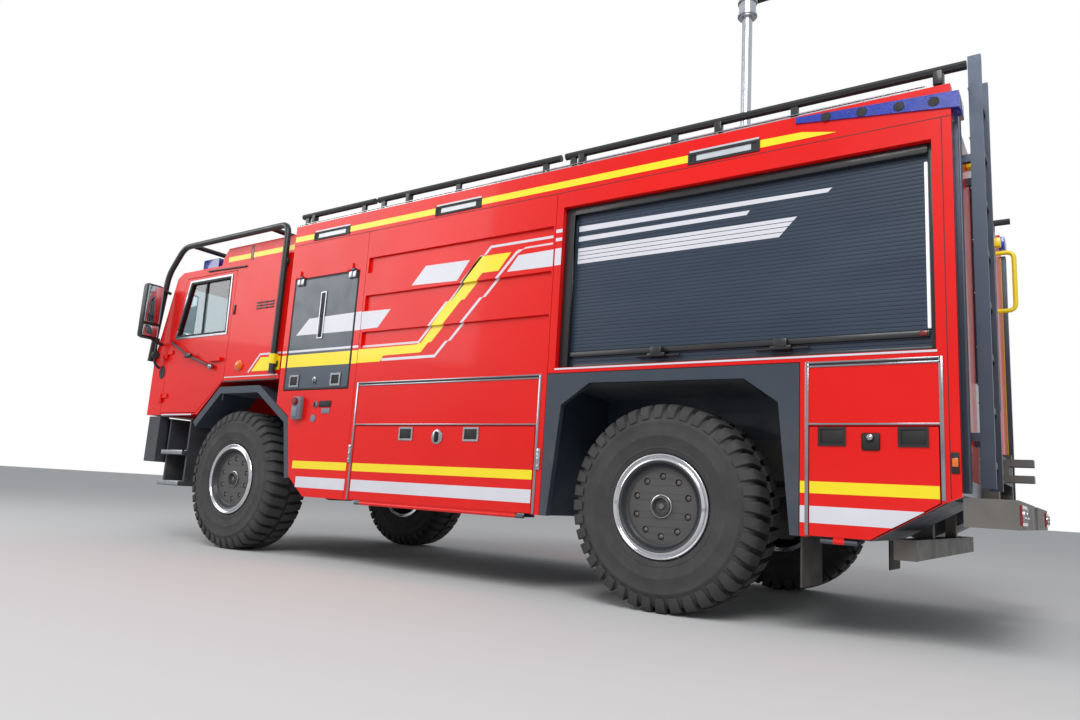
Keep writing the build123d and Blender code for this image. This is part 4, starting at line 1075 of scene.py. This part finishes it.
# Glass: laminated and slightly green, in black rubber, with the dark cab behind it.
# The windscreen and each door's pane are flat sheets.
glass = bpy.data.materials.new("cab_glass")
glass.use_nodes = True
glass_shader = glass.node_tree.nodes["Principled BSDF"]
glass_shader.inputs["Base Color"].default_value = (0.42, 0.5, 0.53, 1)
glass_shader.inputs["Transmission Weight"].default_value = 1.0
glass_shader.inputs["Roughness"].default_value = 0.02
glass_shader.inputs["IOR"].default_value = 1.45
paint(glass, 0, "door_glass_left", "door_glass_right", "windscreen")

# Mirrors: black moulded housings on bent tube arms, which are bolted to the cab's front corners.
# Each housing holds a tall and a low pane, and the lowest arm carries a round lamp.
mirror_glass = finish("mirror_glass", (188, 198, 206), 0.04, metallic=1.0, grain=0.02,
                      grain_depth=0.01)


def housing_and_arms(shape):
    block(shape, (1312, -5436, 1856), (1498, -5356, 2396), 34)
    pipe(shape, ((1238, -5380, 2340), (1330, -5385, 2360), (1405, -5392, 2340)), 15, 40)
    pipe(shape, ((1238, -5400, 1830), (1320, -5400, 1840), (1405, -5394, 1910)), 15, 40)
    pipe(shape, ((1236, -5400, 1600), (1292, -5400, 1625), (1302, -5398, 1850)), 13, 40)


def mirror_panes(shape):
    for foot, top in ((2010, 2376), (1878, 1990)):
        block(shape, (1330, -5358, foot), (1480, -5351, top), 10)


def arm_lamp(shape):
    profile = ((0.5, 0), (22, 3), (34, 12), (38, 24), (38, 40), (30, 52), (0.5, 54))
    lathe(shape, profile, (1302, -5400, 1712), (0.2, 1, 0), 28)


mirror_arms = single("mirror_arms", tube_black, "truck", housing_and_arms)
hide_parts("mirrors")
single("mirror_panes", mirror_glass, "truck", mirror_panes)
single("arm_lamps", black_rubber, "truck", arm_lamp)

# Cab inside: a moulded dashboard with a steering wheel, and four seats on dark steel frames.
# Each seat has a cushion, a back and a headrest, foam in cloth that is sewn down in channels.
seat_rows = (("front", -4880), ("rear", -4060))
seat_x = 760
pads = (
    # name, size, place behind the row's front edge and above the floor
    ("base", (440, 460, 112), 232, 1552),
    ("back", (440, 100, 500), 410, 1862),
    ("rest", (280, 90, 150), 418, 2198),
)
pad_swell = 12
pad_cell = 0.013
cloth_steps = 20
cloth_pressure = 4
channel_share = 0.62
channel_reach = 0.007
dark_plastic = finish("dark_plastic", (44, 50, 60), 0.5, grain=0.004, grain_depth=0.12, dust=0.3,
                      dust_top=1.4)
seat_cloth = finish("seat_cloth", (52, 56, 66), 0.92, mottle=0.12, mottle_size=0.02, grain=0.0012,
                    grain_depth=0.6)
paint(dark_plastic, 10, "dashboard")


def steering_grip(shape):
    section = [(194 + 23 * cos(pi * turn / 6), 23 * sin(pi * turn / 6)) for turn in range(12)]
    lathe(shape, section, (700, -5067, 1793), (0, 0.62, 0.78), 48, True)


def pans_and_posts(shape):
    """The pan, the back plate and the headrest's posts of each seat, and the front seats' boxes."""
    for _, row in seat_rows:
        block(shape, (seat_x - 228, row + 4, 1482), (seat_x + 228, row + 478, 1496), 6)
        block(shape, (seat_x - 228, row + 464, 1482), (seat_x + 228, row + 480, 2100), 6)
        for x in (seat_x - 60, seat_x + 60):
            pipe(shape, ((x, row + 470, 2080), (x, row + 466, 2200)), 8)
    block(shape, (seat_x - 168, -4838, 1180), (seat_x + 168, -4692, 1484), 8)


def settled(holder):
    """The mesh of an object with its modifiers applied."""
    return bpy.data.meshes.new_from_object(
        holder.evaluated_get(bpy.context.evaluated_depsgraph_get())
    )


def filled_pad(name, size):
    """A foam pad that swells between its sewn channels, as a mesh about its own middle."""
    shape = bmesh.new()
    half = [length / 2 - pad_swell for length in size]
    block(shape, tuple(-length for length in half), tuple(half), 22)
    bmesh.ops.scale(shape, vec=(mm, mm, mm), verts=shape.verts)
    mesh = bpy.data.meshes.new(name)
    shape.to_mesh(mesh)
    shape.free()
    holder = bpy.data.objects.new(name, mesh)
    bpy.context.scene.collection.objects.link(holder)
    cells = holder.modifiers.new("cells", "REMESH")
    cells.mode = "VOXEL"
    cells.voxel_size = pad_cell
    even = settled(holder)
    holder.modifiers.clear()
    holder.data = even
    still = [vertex.co.copy() for vertex in even.vertices]
    channel = half[0] * mm * channel_share
    sewn = holder.vertex_groups.new(name="sewn")
    sewn.add([
        vertex.index for vertex in even.vertices if abs(abs(vertex.co.x) - channel) < channel_reach
    ], 1.0, "REPLACE")
    cloth = holder.modifiers.new("cloth", "CLOTH")
    cloth.settings.use_pressure = True
    cloth.settings.uniform_pressure_force = cloth_pressure
    cloth.settings.vertex_group_mass = "sewn"
    cloth.settings.effector_weights.gravity = 0
    cloth.point_cache.frame_start = 1
    cloth.point_cache.frame_end = cloth_steps
    for step in range(1, cloth_steps + 1):
        bpy.context.scene.frame_set(step)
    swelled = settled(holder)
    for vertex, before in zip(swelled.vertices, still):
        move = vertex.co - before
        if move.length > pad_swell * mm:
            vertex.co = before + move.normalized() * (pad_swell * mm)
    holder.modifiers.clear()
    holder.data = swelled
    rounding = holder.modifiers.new("rounding", "SUBSURF")
    rounding.levels = 1
    rounding.render_levels = 1
    smooth = settled(holder)
    bpy.data.objects.remove(holder)
    smooth.materials.clear()
    smooth.materials.append(seat_cloth)
    smooth.shade_smooth()
    return smooth


single("steering_grip", black_rubber, "truck", steering_grip, 60, False)
seat_frames = single("seat_frames", tube_black, "truck", pans_and_posts)
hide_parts("seats")
for pad_name, size, behind, above in pads:
    filled = filled_pad(f"seat_{pad_name}", size)
    for row_name, row in seat_rows:
        for side, x in (("left", seat_x), ("right", -seat_x)):
            pad = bpy.data.objects.new(f"seat_{pad_name}_{row_name}_{side}", filled.copy())
            bpy.context.scene.collection.objects.link(pad)
            pad.location = Vector((x, row + behind + rear_axle, above)) * mm
            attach(pad, "truck")

# Cab front and steps: a pressed grille with dark bars over a moulded plastic bumper, and a pair
# of round lamps each side. Ribbed steel plates edge the entrance steps under the doors.
lamp_centres = (885, 1030)
step_heights = (530, 810)
paint(dark_plastic, 16, "front_bumper")
paint(dark_plastic, 4, "cab_steps")
paint(dark_plastic, 2, "grille")


def lamp_bowls(shape):
    profile = ((64, 0), (62, 14), (52, 22), (30, 30), (0.5, 33))
    for x in lamp_centres:
        lathe(shape, profile, (x, -5512, 960), (0, -1, 0), 36)


def lamp_rims(shape):
    profile = ((64, 0), (70, 0), (70, 20), (66, 24), (62, 18))
    for x in lamp_centres:
        lathe(shape, profile, (x, -5524, 960), (0, -1, 0), 36, True)


def step_edges(shape):
    for z in step_heights:
        block(shape, (1212, -5165, z - 34), (1236, -4818, z + 3), 3)
        for rib in range(6):
            block(shape, (1010 + rib * 34, -5160, z - 1), (1018 + rib * 34, -4823, z + 4), 1)


single("lamp_bowls", bright_steel, "truck", lamp_bowls)
single("lamp_rims", black_rubber, "truck", lamp_rims)
single("step_edges", bright_steel, "truck", step_edges)

# Tube cage and roof rails: bent steel tube, sprayed black, that keeps branches off the cab.
# Brackets and yellow clamps bolt it to the cab, and two cross tubes tie its sides together.
tube = 27
cage_x = 1272
cage_foot = (cage_x, -3590, 1476)


def bent_tubes(shape):
    pipe(shape, (
        cage_foot, (cage_x, -3590, 2780), (cage_x, -5180, 2780), (cage_x, -5400, 2530),
        (cage_x, -5520, 1665),
    ), tube, 90, 20)
    for z in (1560, 2450):
        block(shape, (1238, -3622, z - 24), (cage_x, -3558, z + 24), 5)
    block(shape, (1238, -5508, 1850), (cage_x, -5455, 1894), 5)
    for y in (-5050, -3840):
        pipe(shape, ((0, y, 2780), (cage_x, y, 2780)), 23, 0, 20)
    lathe(shape, ((0.5, -2), (tube + 5, -2), (tube + 5, 14), (tube, 16)), cage_foot, (0, 0, 1), 20)


def cage_clamp(shape):
    profile = ((tube + 1, 0), (tube + 7, 2), (tube + 7, 84), (tube + 1, 86))
    lathe(shape, profile, (cage_x, -3590, 1552), (0, 0, 1), 28)
    block(shape, (1241, -3620, 1552), (cage_x - 10, -3560, 1636), 4)


cage_tubes = single("cage_tubes", tube_black, "truck", bent_tubes, 50)
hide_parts("tube_cage")
single("cage_clamps", reflective_yellow, "truck", cage_clamp)
paint(tube_black, 3, "roof_rails")

# Signal lamps: blue moulded lenses on dark feet over the cab, and a long blue wedge at each rear
# corner of the roof. White scene lamps with black rims are let into the cornice, and the red
# rear lamps have bright rings.
scene_lamps = (-3005, -1650, 352)
cornice_lip = (2586, 2635)
blue_lens = finish("blue_lens", (4, 44, 158), 0.1, coat=0.9, mottle=0.25, mottle_size=0.05,
                   grain=0.01, grain_depth=0.3, stretch=(1, 3, 1))
white_lens = finish("white_lens", (196, 202, 208), 0.12, coat=0.8, grain=0.008, grain_depth=0.3,
                    stretch=(1, 4, 1))
red_lens = finish("red_lens", (150, 12, 12), 0.15, coat=0.8, grain=0.006, grain_depth=0.15)
paint(blue_lens, 12, "blue_lamps")
paint(white_lens, 3, "white_lamps")
paint(red_lens, 3, "tail_lamps")


def lamp_shells(shape):
    """A rim and two end caps round each scene lamp, and the round caps along the wedge."""
    for middle in scene_lamps:
        outer = oblong((middle - 208, middle + 208), (2583, 2638))
        frame_of(shape, grown(outer, 8), grown(outer, -8), body_side - 2, 8)
        slab(shape, oblong((middle - 205, middle - 165), cornice_lip), body_side - 1, 3)
        slab(shape, oblong((middle + 165, middle + 205), cornice_lip), body_side - 1, 3)
    for y in (930, 1110, 1290, 1450):
        button(shape, ((0.5, 0), (24, 0), (26, 3), (24, 5), (0.5, 6)), y, 2768 - 0.085 * y, 24, 7)


def wedge_lamps(shape):
    slab(shape, [(768, 2688), (1562, 2594), (1562, 2680), (768, 2722)], body_side - 4, 13)
    block(shape, (1102, 1522, 2598), (body_side + 6, 1563, 2680), 6)


def beacon_feet(shape):
    block(shape, (742, -5076, 2512), (1150, -4786, 2545), 10)


def tail_rims(shape):
    for x in (940, 1000, 1100, 1160):
        lathe(shape, ((26, 0), (31, 2), (31, 9), (26, 10)), (x, 1748, 645), (0, 1, 0), 32, True)


single("wedge_lamps", blue_lens, "truck", wedge_lamps)
single("lamp_shells", black_rubber, "truck", lamp_shells)
single("beacon_feet", tube_black, "truck", beacon_feet)
single("tail_rims", bright_steel, "truck", tail_rims)

# Body shell: aluminium behind the painted panels, with a tread plate roof and a roof locker.
# Slotted bright strips edge the roof above the cornice, clamps hold the rails, and the
# locker's lid is stiffened by ribs.
aluminium = finish("aluminium", (176, 180, 186), 0.38, metallic=0.9, mottle=0.08, mottle_size=0.2,
                   grain=0.004, grain_depth=0.08, stretch=(1, 6, 6))
tread_plate = finish("tread_plate", (168, 171, 176), 0.42, metallic=0.85, mottle=0.12,
                     mottle_size=0.3, grain=0.03, grain_depth=0.7)
roof_edge = 1252
paint(aluminium, 2, "front_lockers", "water_tank", "rear_block", "roof_locker_lid")
paint(arch_paint, 2, "subframe", "skirts")
paint(tread_plate, 0, "roof_deck")


def roof_strip(shape):
    outer = oblong((-3462, 1415), (2735, 2752))
    inner = oblong((-3454, 1407), (2738, 2749))
    frame_of(shape, outer, inner, roof_edge, 12)
    for number in range(48):
        y = -3440 + number * 101
        slab(shape, oblong((y, y + 14), (2737, 2750)), roof_edge, 8)


def rail_clamps(shape):
    for y in (-3300, -2200, -638, 303, 1465):
        block(shape, (1208, y - 22, 2752), (roof_edge, y + 22, 2836), 5)


def locker_ribs(shape):
    """Ribs across the lid, and two catches on its outer edge."""
    for number in range(5):
        y = -1380 + number * 640
        block(shape, (424, y, 2826), (1076, y + 30, 2836), 3)
    for y in (-1200, 1000):
        block(shape, (1070, y, 2780), (1092, y + 120, 2812), 4)


single("roof_strip", bright_steel, "truck", roof_strip)
single("rail_clamps", tube_black, "truck", rail_clamps)
single("locker_ribs", bright_steel, "roof_locker_lid", locker_ribs, mirrored=False)

# Body rear: a wall with a shutter, a ladder to the roof and a tread step below.
# Red sheets cover the wall outside the shutter, and a bright folded upright stands at each edge.
# A yellow grab handle is bolted beside the shutter.
wall_back = 1524
grab_x = -730
grab_heights = (2440, 2030)
dark_sheet = finish("dark_sheet", (70, 78, 92), 0.4, metallic=0.5, grain=0.005, grain_depth=0.06)
flap_rubber = finish("flap_rubber", (28, 28, 29), 0.8, grain=0.004, grain_depth=0.3, dust=0.3)
paint(aluminium, 2, "rear_wall")
paint(dark_sheet, 4, "ladder")
paint(chassis_black, 16, "rear_guards")
paint(flap_rubber, 0, "mudflaps")


def rear_sheets(shape):
    block(shape, (640, wall_back - 1, 800), (1190, wall_back + 4, 2550), 3)


def rear_uprights(shape):
    """The folded upright at the body's edge, and the frame round half the shutter."""
    block(shape, (1196, wall_back - 1, 730), (1206, wall_back + 34, 2556), 3)
    block(shape, (1196, wall_back + 26, 730), (1258, wall_back + 34, 2556), 3)
    block(shape, (580, wall_back - 1, 1330), (628, wall_back + 16, 2440), 4)
    block(shape, (2, wall_back - 1, 2402), (628, wall_back + 16, 2440), 4)


def rear_line(shape):
    block(shape, (1178, wall_back + 3, 810), (1188, wall_back + 6, 2540), 1)
    block(shape, (700, wall_back + 3, 2486), (760, wall_back + 42, 2546), 5)


def rear_grab(shape):
    top, foot = grab_heights
    pipe(shape, ((grab_x, wall_back, top), (grab_x, 1640, top), (grab_x, 1640, foot),
                 (grab_x, wall_back, foot)), 15, 50)
    for z in grab_heights:
        lathe(shape, ((0.5, 0), (30, 0), (30, 5), (0.5, 6)), (grab_x, wall_back + 3, z), (0, 1, 0), 24)


def rear_bar(shape):
    block(shape, (-550, 1452, 1338), (550, 1476, 1376), 6)
    for x in (-300, 300):
        block(shape, (x - 60, 1470, 1344), (x + 60, 1500, 1368), 8)


def ladder_treads(shape):
    for rung in range(8):
        z = 880 + rung * 270
        for groove in range(5):
            y = 1578 + groove * 9
            block(shape, (762, y, z + 13), (1078, y + 4, z + 18), 1)


single("rear_sheets", fire_red, "truck", rear_sheets)
single("rear_uprights", dark_sheet, "truck", rear_uprights)
single("rear_line", reflective_yellow, "truck", rear_line)
single("rear_grab", reflective_yellow, "truck", rear_grab, mirrored=False)
single("rear_bar", tube_black, "truck", rear_bar, mirrored=False)
single("ladder_treads", bright_steel, "truck", ladder_treads, mirrored=False)

# Mast: bright drawn tube in a flanged collar that is bolted to the roof, with clamping rings.
# Its head turns, and carries two tilting floodlights, which are dark cast housings with fins
# behind and rows of small lenses under a white front pane.
flood_middles = (-230, 230)
mast_metal = finish("mast_metal", (196, 200, 206), 0.25, metallic=1.0, mottle=0.05,
                    mottle_size=0.1, grain=0.05, grain_depth=0.002)
lamp_housing = finish("lamp_housing", (38, 40, 44), 0.5, grain=0.003, grain_depth=0.15)
paint(mast_metal, 1, "mast_base", "mast_tube", "mast_head")
paint(lamp_housing, 10, "floodlights")


def mast_rings(shape):
    """Two rings on the tube's foot, and the four bolts of the flange."""
    profile = ((58, 0), (72, 0), (76, 4), (76, 14), (72, 18), (58, 18))
    for z in (2846, 2872):
        lathe(shape, profile, (0, 0, z), (0, 0, 1), 40, True)
    for number in range(4):
        turn = pi / 4 + number * pi / 2
        lathe(shape, ((0.5, 0), (13, 0), (13, 12), (0.5, 13)),
              (78 * cos(turn), 78 * sin(turn), 2636), (0, 0, 1), 6)


def head_rings(shape):
    profile = ((60, 0), (70, 0), (74, 4), (74, 16), (70, 20), (60, 20))
    for z in (4308, 4420, 4530):
        lathe(shape, profile, (0, 0, z), (0, 0, 1), 40, True)


def flood_fins(shape):
    """Fins behind each lamp, a frame round its front, and the two lugs that it tilts on."""
    for middle in flood_middles:
        for fin in range(8):
            x = middle - 110 + fin * 30
            block(shape, (x, -78, 4664), (x + 10, -56, 4836), 3)
        for z in (4650, 4838):
            block(shape, (middle - 125, 56, z), (middle + 125, 76, z + 8), 3)
        for edge in (-125, 117):
            block(shape, (middle + edge, 56, 4652), (middle + edge + 8, 72, 4844), 3)
    for x in (-102, 92):
        block(shape, (x, -26, 4640), (x + 10, 26, 4700), 4)


def flood_glass(shape):
    for middle in flood_middles:
        block(shape, (middle - 114, 58, 4662), (middle + 114, 64, 4836), 3)
        for row in range(3):
            for part in range(4):
                lathe(shape, ((21, 0), (19, 5), (10, 9), (0.5, 10)),
                      (middle - 82 + part * 54, 63, 4694 + row * 55), (0, 1, 0), 16)


single("mast_rings", bright_steel, "truck", mast_rings, mirrored=False)
single("head_rings", bright_steel, "mast_head", head_rings, mirrored=False)
single("flood_fins", lamp_housing, "floodlights", flood_fins, mirrored=False)
single("flood_glass", white_lens, "floodlights", flood_glass, mirrored=False)
